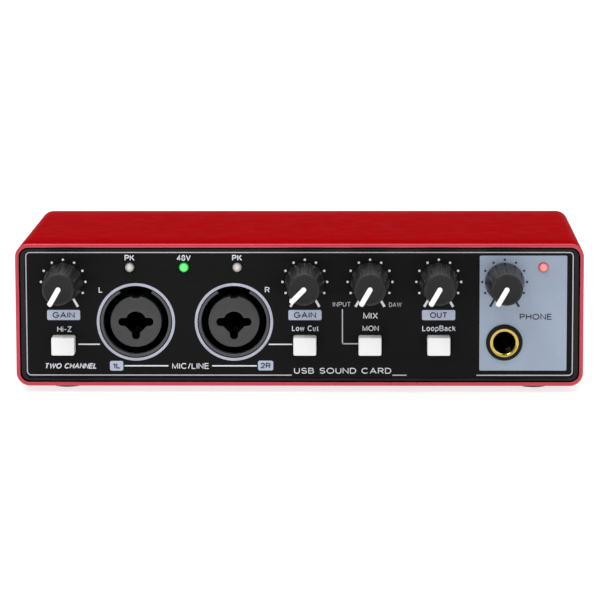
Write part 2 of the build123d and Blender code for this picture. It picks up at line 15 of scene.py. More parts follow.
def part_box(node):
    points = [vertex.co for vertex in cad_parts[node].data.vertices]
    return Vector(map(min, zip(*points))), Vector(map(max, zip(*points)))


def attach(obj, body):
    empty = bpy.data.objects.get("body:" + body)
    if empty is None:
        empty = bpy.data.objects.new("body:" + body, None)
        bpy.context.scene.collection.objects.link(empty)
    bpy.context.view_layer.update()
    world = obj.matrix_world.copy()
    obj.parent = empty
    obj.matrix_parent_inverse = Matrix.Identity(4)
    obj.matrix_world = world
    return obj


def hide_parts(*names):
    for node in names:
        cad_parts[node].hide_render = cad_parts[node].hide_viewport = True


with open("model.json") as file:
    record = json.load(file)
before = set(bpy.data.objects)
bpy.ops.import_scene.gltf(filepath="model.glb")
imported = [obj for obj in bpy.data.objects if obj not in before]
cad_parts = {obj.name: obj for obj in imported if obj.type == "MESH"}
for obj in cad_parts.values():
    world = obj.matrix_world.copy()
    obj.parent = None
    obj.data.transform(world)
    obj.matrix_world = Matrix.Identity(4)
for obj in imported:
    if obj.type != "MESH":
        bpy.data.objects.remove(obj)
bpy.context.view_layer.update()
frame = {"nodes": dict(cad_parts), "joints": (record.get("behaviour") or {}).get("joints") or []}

MM = 0.001
CASE = "case"
KNOBS = ("gain_left", "gain_right", "mix", "output", "phones")
BUTTONS = ("instrument", "low_cut", "monitor", "loopback")
INPUTS = ("left_input", "right_input")
OUTPUTS = ("left_output", "right_output")

# ---- places, read from the frame ----

SLEEVE_LOW, SLEEVE_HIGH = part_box("sleeve")
OVERLAY_LOW, OVERLAY_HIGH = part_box("front_overlay")
FACE_Y, REAR_Y = OVERLAY_LOW.y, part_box("rear_panel")[1].y
SLEEVE_W, SLEEVE_D, SLEEVE_H = ((SLEEVE_HIGH - SLEEVE_LOW) / MM)[:]
FACE_DEPTH = (FACE_Y - SLEEVE_LOW.y) / MM
MIDDLE_Z = (SLEEVE_LOW.z + SLEEVE_HIGH.z) / 2
HINGES = {j["child"]: Vector(j["pos_m"]) for j in frame["joints"] if j["type"] == "hinge"}


def middle(node):
    low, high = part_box(node)
    return (low + high) / 2


def size(node):
    """Width, depth and height of a node, in millimetres."""
    low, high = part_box(node)
    return (high - low) / MM


def from_front(x, z, turn=0.0):
    """Local frame on the front face at (x, z) in metres, turned clockwise by some degrees."""
    place = Matrix.Translation((x, FACE_Y, z)) @ Matrix.Rotation(math.radians(90), 4, "X")
    return place @ Matrix.Rotation(-math.radians(turn), 4, "Z") @ Matrix.Scale(MM, 4)


def from_rear(x, z):
    """Local frame on the rear face at (x, z) in metres, seen from behind."""
    place = Matrix.Translation((x, REAR_Y, z)) @ Matrix.Rotation(math.pi, 4, "Z")
    return place @ Matrix.Rotation(math.radians(90), 4, "X") @ Matrix.Scale(MM, 4)


# ---- outlines: closed lists of (x, y) in millimetres ----


def circle(radius, x=0.0, y=0.0, steps=96):
    return arc(radius, 0, 360, steps, x, y)[:-1]


def arc(radius, start, end, steps, x=0.0, y=0.0):
    turns = [math.radians(start + (end - start) * i / steps) for i in range(steps + 1)]
    return [(x + radius * math.cos(a), y + radius * math.sin(a)) for a in turns]


def rounded(width, height, radius, x=0.0, y=0.0, steps=10):
    """Rectangle with round corners, anticlockwise from the middle of its right side."""
    a, b = width / 2 - radius, height / 2 - radius
    points = []
    for start, sx, sy in ((0, 1, 1), (90, -1, 1), (180, -1, -1), (270, 1, -1)):
        points += arc(radius, start, start + 90, steps, x + sx * a, y + sy * b)
    return points


def hexagon(across_flats, turn=0.0):
    corner = across_flats / math.sqrt(3)
    return [(corner * math.cos(math.radians(turn + 60 * i)), corner * math.sin(math.radians(turn + 60 * i)))
            for i in range(6)]


# ---- meshes ----


def mesh_from_rings(rings, wrap=False, caps=True):
    """Quads between neighbouring rings of points. wrap joins the last ring to the first."""
    mesh = bmesh.new()
    rows = [[mesh.verts.new(point) for point in ring] for ring in rings]
    count = len(rows[0])
    pairs = list(zip(rows, rows[1:]))
    if wrap:
        pairs.append((rows[-1], rows[0]))
    for near, far in pairs:
        for i in range(count):
            j = (i + 1) % count
            mesh.faces.new((near[i], near[j], far[j], far[i]))
    if caps and not wrap:
        mesh.faces.new(list(reversed(rows[0])))
        mesh.faces.new(rows[-1])
    bmesh.ops.recalc_face_normals(mesh, faces=mesh.faces)
    return mesh


def lathe(profile, steps=96, wrap=False, shape=None):
    """Solid of revolution about z. profile lists (radius, z), and shape may change each radius."""
    rings = []
    for radius, z in profile:
        ring = []
        for i in range(steps):
            a = 2 * math.pi * i / steps
            r = shape(a, radius, z) if shape else radius
            ring.append((r * math.sin(a), r * math.cos(a), z))
        rings.append(ring)
    return mesh_from_rings(rings, wrap)


def plate(outlines, near, far, bevel=0.0, steps=3):
    """Flat solid between z near and far. The first outline is its edge and the others are holes."""
    curve = bpy.data.curves.new("outline", "CURVE")
    curve.dimensions = "2D"
    curve.fill_mode = "BOTH"
    curve.extrude = (far - near) / 2 - bevel
    curve.bevel_depth = bevel
    curve.bevel_resolution = steps
    curve.offset = -bevel
    for outline in outlines:
        spline = curve.splines.new("POLY")
        spline.points.add(len(outline) - 1)
        for point, (x, y) in zip(spline.points, outline):
            point.co = (x, y, 0, 1)
        spline.use_cyclic_u = True
    return from_curve(curve, (near + far) / 2)


def from_curve(curve, lift=0.0):
    """The mesh of a curve, closed at its seams and lifted along z."""
    holder = bpy.data.objects.new("holder", curve)
    bpy.context.scene.collection.objects.link(holder)
    bpy.context.view_layer.update()
    shape = holder.evaluated_get(bpy.context.evaluated_depsgraph_get())
    data = bpy.data.meshes.new_from_object(shape)
    mesh = bmesh.new()
    mesh.from_mesh(data)
    bmesh.ops.remove_doubles(mesh, verts=mesh.verts, dist=0.0004)
    bmesh.ops.translate(mesh, verts=mesh.verts, vec=(0, 0, lift))
    bpy.data.objects.remove(holder)
    bpy.data.curves.remove(curve)
    bpy.data.meshes.remove(data)
    return mesh


def box(width, height, near, far, x=0.0, y=0.0, radius=0.15):
    """Block with rounded edges."""
    return plate([rounded(width, height, radius, x, y, 4)], near, far, min(radius, (far - near) / 3))


def joined(*meshes):
    """One mesh holding them all."""
    whole = bmesh.new()
    for mesh in meshes:
        data = bpy.data.meshes.new("part")
        mesh.to_mesh(data)
        whole.from_mesh(data)
        bpy.data.meshes.remove(data)
        mesh.free()
    return whole


def moved(mesh, x=0.0, y=0.0, z=0.0, turn=0.0):
    bmesh.ops.transform(mesh, verts=mesh.verts,
                        matrix=Matrix.Translation((x, y, z)) @ Matrix.Rotation(-math.radians(turn), 4, "Z"))
    return mesh


def piece(name, mesh, place, material, body, nodes=(), sharp=38):
    """A finished piece: its mesh in place, with its material, on a body, for the CAD nodes it stands for."""
    bmesh.ops.transform(mesh, matrix=place, verts=mesh.verts)
    data = bpy.data.meshes.new(name)
    mesh.to_mesh(data)
    mesh.free()
    data.polygons.foreach_set("use_smooth", [True] * len(data.polygons))
    data.set_sharp_from_angle(angle=math.radians(sharp))
    for one in material if isinstance(material, (list, tuple)) else [material]:
        data.materials.append(one)
    thing = bpy.data.objects.new(name, data)
    bpy.context.scene.collection.objects.link(thing)
    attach(thing, body)
    if nodes:
        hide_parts(*nodes)
    return thing


# ---- materials ----


def srgb(red, green, blue):
    """Linear colour from eight-bit display values."""
    values = [c / 255 for c in (red, green, blue)]
    return tuple(c / 12.92 if c <= 0.04045 else ((c + 0.055) / 1.055) ** 2.4 for c in values) + (1.0,)


def scaled(colour, factor):
    return tuple(min(1.0, c * factor) for c in colour[:3]) + (1.0,)


class Nodes:
    """Short way to write a material's nodes."""

    def __init__(self, name):
        self.material = bpy.data.materials.new(name)
        self.material.use_nodes = True
        self.tree = self.material.node_tree
        self.shader = self.tree.nodes["Principled BSDF"]
        self.coords = self.add("ShaderNodeTexCoord").outputs["Object"]

    def add(self, kind, **settings):
        node = self.tree.nodes.new(kind)
        for key, value in settings.items():
            setattr(node, key, value)
        return node

    def link(self, source, target):
        self.tree.links.new(source, target)

    def noise(self, grain_mm, detail=2.0, stretch=(1, 1, 1)):
        """Noise whose features are about grain_mm wide."""
        mapping = self.add("ShaderNodeMapping")
        mapping.inputs["Scale"].default_value = stretch
        self.link(self.coords, mapping.inputs["Vector"])
        texture = self.add("ShaderNodeTexNoise")
        texture.inputs["Scale"].default_value = 1 / (grain_mm * MM)
        texture.inputs["Detail"].default_value = detail
        self.link(mapping.outputs["Vector"], texture.inputs["Vector"])
        return texture.outputs["Fac"]

    def span(self, value, low, high, start=0.3, end=0.7):
        """Maps a value onto a range."""
        node = self.add("ShaderNodeMapRange")
        for socket, number in zip(("From Min", "From Max", "To Min", "To Max"), (start, end, low, high)):
            node.inputs[socket].default_value = number
        self.link(value, node.inputs["Value"])
        return node.outputs["Result"]

    def mix(self, factor, first, second):
        """Colour between two, each a colour or another node's output."""
        node = self.add("ShaderNodeMix", data_type="RGBA")
        self.link(factor, node.inputs["Factor"])
        for socket, colour in ((node.inputs[6], first), (node.inputs[7], second)):
            if isinstance(colour, tuple):
                socket.default_value = colour
            else:
                self.link(colour, socket)
        return node.outputs[2]

    def edges(self, radius_mm):
        """Near 1 along convex edges and 0 on flat stretches."""
        bevel = self.add("ShaderNodeBevel", samples=4)
        bevel.inputs["Radius"].default_value = radius_mm * MM
        normal = self.add("ShaderNodeNewGeometry").outputs["Normal"]
        dot = self.add("ShaderNodeVectorMath", operation="DOT_PRODUCT")
        self.link(bevel.outputs["Normal"], dot.inputs[0])
        self.link(normal, dot.inputs[1])
        return self.span(dot.outputs["Value"], 1.0, 0.0, 0.9, 0.999)

    def bump(self, height, depth_mm, strength=1.0, after=None):
        node = self.add("ShaderNodeBump")
        node.inputs["Strength"].default_value = strength
        node.inputs["Distance"].default_value = depth_mm * MM
        self.link(height, node.inputs["Height"])
        if after:
            self.link(after, node.inputs["Normal"])
        return node.outputs["Normal"]


def surface(name, colour, rough, metal=0.0, mottle=0.08, mottle_mm=9.0, grain_mm=0.25, grain_depth_mm=0.01,
            grain_strength=0.35, stretch=(1, 1, 1), rough_spread=0.08, wear_and_highlight=None, wear_and_highlight_mm=0.25, specular=0.5,
            coat=0.0):
    """Procedural finish: varied colour and roughness, grain and, if an edge colour is given, edges painted in
    it, which is real rubbed wear on some materials and a painted highlight on others.
    """
    nodes = Nodes(name)
    shader = nodes.shader
    tone = nodes.mix(nodes.span(nodes.noise(mottle_mm, 4.0), 0.0, 1.0),
                     scaled(colour, 1 - mottle), scaled(colour, 1 + mottle))
    speck = nodes.span(nodes.noise(grain_mm * 2, 3.0, stretch), 0.0, 1.0, 0.55, 0.8)
    tone = nodes.mix(speck, tone, scaled(colour, 1 + 2 * mottle))
    if wear_and_highlight:
        edge_mask = nodes.add("ShaderNodeMath", operation="MULTIPLY")
        nodes.link(nodes.edges(wear_and_highlight_mm), edge_mask.inputs[0])
        nodes.link(nodes.span(nodes.noise(1.6, 4.0), 0.1, 1.0), edge_mask.inputs[1])
        tone = nodes.mix(edge_mask.outputs[0], tone, wear_and_highlight)
    nodes.link(tone, shader.inputs["Base Color"])
    nodes.link(nodes.span(nodes.noise(3.5, 5.0), rough - rough_spread, rough + rough_spread),
               shader.inputs["Roughness"])
    nodes.link(nodes.bump(nodes.noise(grain_mm, 3.0, stretch), grain_depth_mm, grain_strength),
               shader.inputs["Normal"])
    shader.inputs["Metallic"].default_value = metal
    shader.inputs["Specular IOR Level"].default_value = specular
    shader.inputs["Coat Weight"].default_value = coat
    shader.inputs["Coat Roughness"].default_value = 0.08
    return nodes.material


def anodised(name, colour, edge, rough):
    """Blasted and dyed aluminium: extrusion lines along the case, fine blasting and a painted highlight, a
    lighter pinkish red, along its rounded edges.
    """
    nodes = Nodes(name)
    shader = nodes.shader
    lines = nodes.noise(1.4, 5.0, (1, 0.004, 1))
    tone = nodes.mix(nodes.span(nodes.noise(26.0, 4.0), 0.0, 1.0), scaled(colour, 0.93), scaled(colour, 1.05))
    tone = nodes.mix(nodes.span(lines, 0.0, 0.35), tone, scaled(colour, 0.94))
    # The edge colour on rounded edges and corners is a painted highlight, standing in for the sheen of the
    # rounded metal.
    edge_mask = nodes.add("ShaderNodeMath", operation="MULTIPLY")
    nodes.link(nodes.edges(0.5), edge_mask.inputs[0])
    nodes.link(nodes.span(nodes.noise(2.2, 4.0), 0.25, 1.0), edge_mask.inputs[1])
    tone = nodes.mix(edge_mask.outputs[0], tone, edge)
    nodes.link(tone, shader.inputs["Base Color"])
    nodes.link(nodes.span(nodes.noise(5.0, 5.0), rough - 0.04, rough + 0.05), shader.inputs["Roughness"])
    fine = nodes.bump(nodes.noise(0.12, 2.0), 0.006, 0.35)
    nodes.link(nodes.bump(lines, 0.004, 0.08, fine), shader.inputs["Normal"])
    shader.inputs["Metallic"].default_value = 1.0
    shader.inputs["Specular Tint"].default_value = srgb(255, 8, 56)
    return nodes.material


def lens(name, colour, core, centre, glow):
    """Light's lens: milky plastic, lit from its middle when glow is above nought."""
    nodes = Nodes(name)
    shader = nodes.shader
    away = nodes.add("ShaderNodeVectorMath", operation="DISTANCE")
    nodes.link(nodes.coords, away.inputs[0])
    away.inputs[1].default_value = centre
    ring = nodes.span(away.outputs["Value"], 0.0, 1.0, 0.4 * MM, 1.6 * MM)
    tone = nodes.mix(ring, core, colour)
    nodes.link(nodes.mix(nodes.span(nodes.noise(0.5, 2.0), 0.0, 0.15), tone, scaled(colour, 0.8)),
               shader.inputs["Base Color"])
    nodes.link(nodes.span(nodes.noise(0.8, 3.0), 0.12, 0.2), shader.inputs["Roughness"])
    nodes.link(nodes.bump(nodes.noise(0.7, 2.0), 0.01, 0.15), shader.inputs["Normal"])
    if glow:
        nodes.link(tone, shader.inputs["Emission Color"])
        shader.inputs["Emission Strength"].default_value = glow
    shader.inputs["Subsurface Weight"].default_value = 0.1
    shader.inputs["Subsurface Scale"].default_value = 0.5 * MM
    return nodes.material


RED = srgb(165, 0, 20)
# Painted highlight colour, laid along the case's rounded edges and corners.
RED_EDGE_HIGHLIGHT = srgb(196, 60, 96)
# Rim colour, lighter than the case red: partly the machined face, partly a painted highlight.
RIM_HIGHLIT = srgb(194, 68, 82)
BLACK = srgb(18, 18, 19)
INK_PALE = srgb(226, 228, 234)
INK_GREY = srgb(185, 184, 192)
INK_BLUE = srgb(176, 184, 205)
INK_NAVY = srgb(16, 22, 40)
WHITE = srgb(240, 240, 240)

anodised_red = anodised("anodised_red", RED, RED_EDGE_HIGHLIGHT, 0.4)
# Front rim: its lighter pink is partly the machined face and partly a painted highlight, and its brighter
# edge colour is a painted highlight on the rounding.
rim_red_highlit = surface("rim_red_highlit", RIM_HIGHLIT, 0.34, 0.6, mottle=0.05, grain_mm=0.3, stretch=(1, 4, 1),
                  wear_and_highlight=srgb(248, 118, 132))
# The cool grey edge colour of the glossy frame is a painted reflection along its rounded edges.
gloss_black = surface("gloss_black", srgb(9, 9, 11), 0.14, mottle=0.1, grain_mm=1.5, grain_depth_mm=0.012,
                      grain_strength=0.25, rough_spread=0.05, wear_and_highlight=srgb(46, 47, 54), specular=0.25)
film_black = surface("film_black", BLACK, 0.5, mottle=0.05, mottle_mm=14, grain_mm=0.18, grain_depth_mm=0.008,
                     rough_spread=0.06, specular=0.08)
# The light grey edge colour on the knob's bevel and flutes is a painted highlight.
knob_black = surface("knob_black", srgb(28, 28, 29), 0.36, mottle=0.1, mottle_mm=5, grain_mm=0.16,
                     grain_depth_mm=0.014, wear_and_highlight=srgb(96, 96, 98), wear_and_highlight_mm=0.4, specular=0.24)
pointer_white = surface("pointer_white", srgb(244, 244, 242), 0.4, mottle=0.02, grain_mm=0.2)
# The brighter white along the caps' edges is a painted highlight.
cap_white = surface("cap_white", WHITE, 0.36, mottle=0.015, grain_mm=0.22, grain_depth_mm=0.008,
                    wear_and_highlight=srgb(252, 252, 252))
nylon_black = surface("nylon_black", srgb(16, 16, 17), 0.46, mottle=0.1, mottle_mm=4, grain_mm=0.2,
                      grain_depth_mm=0.014, wear_and_highlight=srgb(60, 60, 64), wear_and_highlight_mm=0.3, specular=0.15)
# Near-black copy of the socket nylon: painted shade for the insides of sockets and holes.
cavity_shade_black = surface("cavity_shade_black", srgb(5, 5, 6), 0.7, mottle=0.15, mottle_mm=4, grain_mm=0.25,
                       grain_depth_mm=0.014, specular=0.03)
# The lighter grey along the core's edges and hole rims is a painted highlight.
nylon_core = surface("nylon_core", srgb(58, 58, 59), 0.36, mottle=0.1, mottle_mm=4, grain_mm=0.2,
                     grain_depth_mm=0.016, grain_strength=0.5, wear_and_highlight=srgb(112, 112, 116), specular=0.4)
nylon_grey = surface("nylon_grey", srgb(70, 71, 74), 0.38, mottle=0.08, mottle_mm=4, grain_mm=0.2,
                     grain_depth_mm=0.012, wear_and_highlight=srgb(120, 120, 126), specular=0.4)
silver_ink = surface("silver_ink", srgb(176, 178, 192), 0.3, 0.6, mottle=0.14, mottle_mm=6, grain_mm=0.12)
pale_ink = surface("pale_ink", INK_PALE, 0.5, mottle=0.03, mottle_mm=3, grain_mm=0.15, grain_depth_mm=0.004)
grey_ink = surface("grey_ink", INK_GREY, 0.5, mottle=0.04, mottle_mm=3, grain_mm=0.15, grain_depth_mm=0.004)
blue_ink = surface("blue_ink", INK_BLUE, 0.48, mottle=0.03, mottle_mm=8, grain_mm=0.15, grain_depth_mm=0.005)
navy_ink = surface("navy_ink", INK_NAVY, 0.5, mottle=0.06, mottle_mm=3, grain_mm=0.15, grain_depth_mm=0.004)
# Its broad mottle is a painted reflection across the glossy field, placed at random.
field_ink = surface("field_ink", srgb(151, 164, 182), 0.36, 0.3, mottle=0.09, mottle_mm=30, grain_mm=0.15,
                    grain_depth_mm=0.006)
gold = surface("gold", srgb(208, 183, 94), 0.16, 1.0, mottle=0.08, mottle_mm=3, grain_mm=0.3,
               stretch=(1, 3, 1), grain_depth_mm=0.005, rough_spread=0.06)
# Gold contacts painted dark brown: painted shade deep inside the input holes.
contact_gold_shaded = surface("contact_gold_shaded", srgb(64, 58, 46), 0.45, 1.0, mottle=0.15, mottle_mm=1.5,
                        grain_mm=0.2)
zinc = surface("zinc", srgb(198, 200, 204), 0.3, 1.0, mottle=0.08, mottle_mm=3, grain_mm=0.25,
               stretch=(1, 3, 1), grain_depth_mm=0.006)
black_oxide = surface("black_oxide", srgb(38, 38, 40), 0.38, 0.6, mottle=0.12, mottle_mm=2, grain_mm=0.2,
                      wear_and_highlight=srgb(110, 108, 104))
powder_black = surface("powder_black", srgb(30, 30, 32), 0.52, mottle=0.1, mottle_mm=10, grain_mm=0.35,
                       grain_depth_mm=0.03, grain_strength=0.5, wear_and_highlight=srgb(70, 70, 74))
rubber = surface("rubber", srgb(26, 26, 27), 0.75, mottle=0.15, mottle_mm=2, grain_mm=0.3,
                 grain_depth_mm=0.03, specular=0.3)
solder_mask = surface("solder_mask", srgb(14, 78, 44), 0.3, mottle=0.15, mottle_mm=3, grain_mm=0.5, coat=0.4)
epoxy = surface("epoxy", srgb(32, 32, 34), 0.55, mottle=0.12, mottle_mm=2, grain_mm=0.25, grain_depth_mm=0.02)
aluminium = surface("aluminium", srgb(190, 192, 198), 0.32, 1.0, mottle=0.06, mottle_mm=3, grain_mm=0.2,
                    stretch=(1, 1, 5))


# ---- casing ----

WALL, CORNER, RIM_ROUND, REAR_ROUND = 1.2, 4.2, 0.35, 0.8
PANEL_R = 2.8
BOSS_INSET, BOSS_R, BOSS_HOLE_R = 3.8, 2.6, 1.3
SHAFT_HOLE, LIGHT_HOLE, INPUT_HOLE, COLLAR_HOLE, OUTPUT_HOLE = 3.45, 1.6, 11.35, 5.75, 5.6


def sleeve_ring(inset, depth):
    """Ring of points around the sleeve at a depth behind its front edge, inset from its outer outline."""
    outline = rounded(SLEEVE_W - 2 * inset, SLEEVE_H - 2 * inset, CORNER - inset, steps=14)
    return [(x, y, FACE_DEPTH - depth) for x, y in outline]


def quarter(inset, depth, radius, start, end, steps=5):
    """Insets and depths round an edge, the arc's centre being at (inset, depth)."""
    turns = [math.radians(start + (end - start) * i / steps) for i in range(steps + 1)]
    return [(inset - radius * math.cos(a), depth - radius * math.sin(a)) for a in turns]


def make_sleeve():
    small = 0.2
    profile = quarter(WALL - small, small, small, 180, 90)
    profile += quarter(RIM_ROUND, RIM_ROUND, RIM_ROUND, 90, 0)
    profile += [(0, SLEEVE_D * i / 6) for i in range(1, 6)]
    profile += quarter(REAR_ROUND, SLEEVE_D - REAR_ROUND, REAR_ROUND, 0, -90)
    profile += quarter(WALL - small, SLEEVE_D - small, small, -90, -180)
    mesh = mesh_from_rings([sleeve_ring(*p) for p in profile], wrap=True)
    # Faces at the front rim get the rim material, whose lighter red is partly a painted highlight.
    for face in mesh.faces:
        if face.calc_center_median().z > FACE_DEPTH - RIM_ROUND * 0.6:
            face.material_index = 1
    bosses = []
    length = SLEEVE_D - 7
    for sx in (-1, 1):
        for sy in (-1, 1):
            x, y = sx * (SLEEVE_W / 2 - WALL - BOSS_INSET), sy * (SLEEVE_H / 2 - WALL - BOSS_INSET)
            rings = [circle(BOSS_R, x, y, 40), circle(BOSS_HOLE_R, x, y, 32)]
            bosses.append(plate(rings, -length - 3, -3.1, 0.1))
    piece("sleeve_shell", joined(mesh, *bosses), from_front(0, MIDDLE_Z), [anodised_red, rim_red_highlit],
          CASE, ["sleeve"])


def openings(extra):
    """Outlines of what passes through the front, about the sleeve's middle."""
    shapes = []
    for name in KNOBS:
        axis = HINGES[name + "_control"]
        shapes.append(circle(SHAFT_HOLE + extra, axis.x / MM, (axis.z - MIDDLE_Z) / MM, 48))
    for name in BUTTONS:
        centre, (width, _, height) = middle(name + "_button"), size(name + "_button")
        shapes.append(rounded(width + 0.6, height + 0.6, 0.6, centre.x / MM, (centre.z - MIDDLE_Z) / MM))
    for x, z in lights().values():
        shapes.append(circle(LIGHT_HOLE, x / MM, (z - MIDDLE_Z) / MM, 40))
    for name in INPUTS:
        centre = middle(name + "_shell")
        shapes.append(circle(INPUT_HOLE, centre.x / MM, (centre.z - MIDDLE_Z) / MM))
    centre = middle("phones_jack_ferrule")
    shapes.append(circle(COLLAR_HOLE, centre.x / MM, (centre.z - MIDDLE_Z) / MM))
    return shapes


def lights():
    """Each light's axis, as (x, z) in metres."""
    flange = 1.9 * MM
    low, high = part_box("peak_leds")
    z = middle("peak_leds").z
    return {
        "peak_left": (low.x + flange, z),
        "peak_right": (high.x - flange, z),
        "phantom": (middle("phantom_led").x, z),
        "power": (middle("power_led").x, z),
    }


def make_front():
    width, _, height = size("front_panel")
    film_w, film_h = (OVERLAY_HIGH.x - OVERLAY_LOW.x) / MM, (OVERLAY_HIGH.z - OVERLAY_LOW.z) / MM
    film_r = 1.9
    inside = rounded(film_w + 0.1, film_h + 0.1, film_r)
    border = plate([rounded(width, height, PANEL_R), inside], -0.5, 0.3, 0.34, 6)
    back = plate([rounded(width, height, PANEL_R), *openings(0.15)], -3.0, -0.5, 0.0)
    piece("front_frame", joined(border, back), from_front(0, MIDDLE_Z), gloss_black, CASE,
          ["front_panel"])
    film = plate([rounded(film_w, film_h, film_r), *openings(0.25)], -0.48, 0.0, 0.06, 2)
    piece("front_film", film, from_front(0, MIDDLE_Z), film_black, CASE, ["front_overlay"])


# ---- prints ----

INK_Z, OVER_INK_Z, INK_T = 0.0, 0.03, 0.03


def ink(outlines, level=INK_Z):
    return plate(outlines, level, level + INK_T)


def bow(x, y, width, height, start, end, steps=14):
    """Arc of an ellipse of some width and height about (x, y)."""
    turns = [math.radians(start + (end - start) * i / steps) for i in range(steps + 1)]
    return [(x + width / 2 * math.cos(a), y + height / 2 * math.sin(a)) for a in turns]


# Each letter's width and its strokes, along their middles, with capitals 1 high.
LETTERS = {
    " ": (0.25, []),
    "-": (0.34, [[(0, 0.42), (0.34, 0.42)]]),
    "/": (0.3, [[(0, 0), (0.3, 1)]]),
    "A": (0.8, [[(0, 0), (0.4, 1), (0.8, 0)], [(0.13, 0.33), (0.67, 0.33)]]),
    "B": (0.66, [[(0, 0), (0, 1)] + bow(0.36, 0.77, 0.48, 0.46, 90, -90) + [(0, 0.54)],
                 bow(0.36, 0.27, 0.58, 0.54, 90, -90) + [(0, 0)]]),
    "C": (0.8, [bow(0.42, 0.5, 0.84, 1, 42, 318, 24)]),
    "D": (0.72, [[(0, 0), (0, 1)] + bow(0.3, 0.5, 0.84, 1, 90, -90, 18) + [(0, 0)]]),
    "E": (0.58, [[(0.58, 1), (0, 1), (0, 0), (0.6, 0)], [(0, 0.53), (0.54, 0.53)]]),
    "G": (0.86, [bow(0.43, 0.5, 0.86, 1, 42, 345, 24) + [(0.86, 0.45), (0.5, 0.45)]]),
    "H": (0.68, [[(0, 0), (0, 1)], [(0.68, 0), (0.68, 1)], [(0, 0.52), (0.68, 0.52)]]),
    "I": (0.0, [[(0, 0), (0, 1)]]),
    "K": (0.68, [[(0, 0), (0, 1)], [(0.62, 1), (0, 0.36)], [(0.24, 0.6), (0.68, 0)]]),
    "L": (0.5, [[(0, 1), (0, 0), (0.52, 0)]]),
    "M": (0.82, [[(0, 0), (0, 1), (0.41, 0.05), (0.82, 1), (0.82, 0)]]),
    "N": (0.68, [[(0, 0), (0, 1), (0.68, 0), (0.68, 1)]]),
    "O": (0.9, [bow(0.45, 0.5, 0.9, 1, 90, 450, 30)]),
    "P": (0.62, [[(0, 0), (0, 1)] + bow(0.36, 0.73, 0.52, 0.54, 90, -90) + [(0, 0.46)]]),
    "R": (0.66, [[(0, 0), (0, 1)] + bow(0.38, 0.74, 0.52, 0.52, 90, -90) + [(0, 0.48)],
                 [(0.38, 0.48), (0.66, 0)]]),
    "S": (0.66, [bow(0.34, 0.75, 0.6, 0.5, 25, 250, 16) + bow(0.33, 0.26, 0.66, 0.52, 70, -155, 16)]),
    "T": (0.68, [[(0, 1), (0.68, 1)], [(0.34, 1), (0.34, 0)]]),
    "U": (0.66, [[(0, 1)] + bow(0.33, 0.33, 0.66, 0.66, 180, 360) + [(0.66, 1)]]),
    "V": (0.76, [[(0, 1), (0.38, 0), (0.76, 1)]]),
    "W": (1.1, [[(0, 1), (0.27, 0), (0.55, 1), (0.83, 0), (1.1, 1)]]),
    "X": (0.7, [[(0, 0), (0.7, 1)], [(0, 1), (0.7, 0)]]),
    "Z": (0.64, [[(0, 1), (0.64, 1), (0, 0), (0.66, 0)]]),
    "1": (0.24, [[(0, 0.8), (0.24, 0.8)], [(0.24, 1), (0.24, 0)]]),
    "2": (0.58, [bow(0.29, 0.71, 0.56, 0.58, 170, -40) + [(0, 0), (0.58, 0)]]),
    "4": (0.6, [[(0.44, 0), (0.44, 1), (0, 0.28), (0.62, 0.28)]]),
    "8": (0.58, [bow(0.29, 0.77, 0.48, 0.46, 270, 630, 20), bow(0.29, 0.27, 0.58, 0.54, 90, 450, 20)]),
    "a": (0.46, [bow(0.23, 0.5, 0.42, 0.44, 160, 0, 8) + [(0.44, 0.1), (0.5, 0)],
                 [(0.44, 0.42)] + bow(0.2, 0.2, 0.4, 0.4, 100, 270, 8) + [(0.44, 0.2)]]),
    "c": (0.48, [bow(0.27, 0.36, 0.54, 0.72, 48, 312)]),
    "i": (0.0, [[(0, 0), (0, 0.72)], [(0, 0.92), (0, 1.05)]]),
    "k": (0.44, [[(0, 0), (0, 1)], [(0.4, 0.72), (0, 0.3)], [(0.16, 0.46), (0.46, 0)]]),
    "o": (0.54, [bow(0.27, 0.36, 0.54, 0.72, 90, 450, 20)]),
    "p": (0.52, [[(0, 0.72), (0, -0.28)], bow(0.26, 0.36, 0.52, 0.72, 180, 540, 20)]),
    "t": (0.26, [[(0.12, 0.92), (0.12, 0.12), (0.18, 0.02), (0.3, 0)], [(0, 0.72), (0.28, 0.72)]]),
    "u": (0.46, [[(0, 0.72)] + bow(0.23, 0.23, 0.46, 0.46, 180, 360) + [(0.46, 0.72)],
                 [(0.46, 0.3), (0.46, 0)]]),
    "w": (0.8, [[(0, 0.72), (0.2, 0), (0.4, 0.72), (0.6, 0), (0.8, 0.72)]]),
}


def unit(start, end):
    dx, dy = end[0] - start[0], end[1] - start[1]
    length = math.hypot(dx, dy)
    return dx / length, dy / length


def ribbon(path, thick, low, high):
    """Flat strip along a path, with square ends and mitred corners."""
    sides = []
    for i, (x, y) in enumerate(path):
        before = unit(path[i - 1], path[i]) if i else unit(path[0], path[1])
        after = unit(path[i], path[i + 1]) if i < len(path) - 1 else before
        nx, ny = -(before[1] + after[1]), before[0] + after[0]
        length = max(math.hypot(nx, ny), 0.3)
        across = max(0.55, (nx * -before[1] + ny * before[0]) / length)
        reach = thick / 2 / across / length
        sides.append(((x + nx * reach, y + ny * reach), (x - nx * reach, y - ny * reach)))
    return mesh_from_rings([[(*a, high), (*b, high), (*b, low), (*a, low)] for a, b in sides])


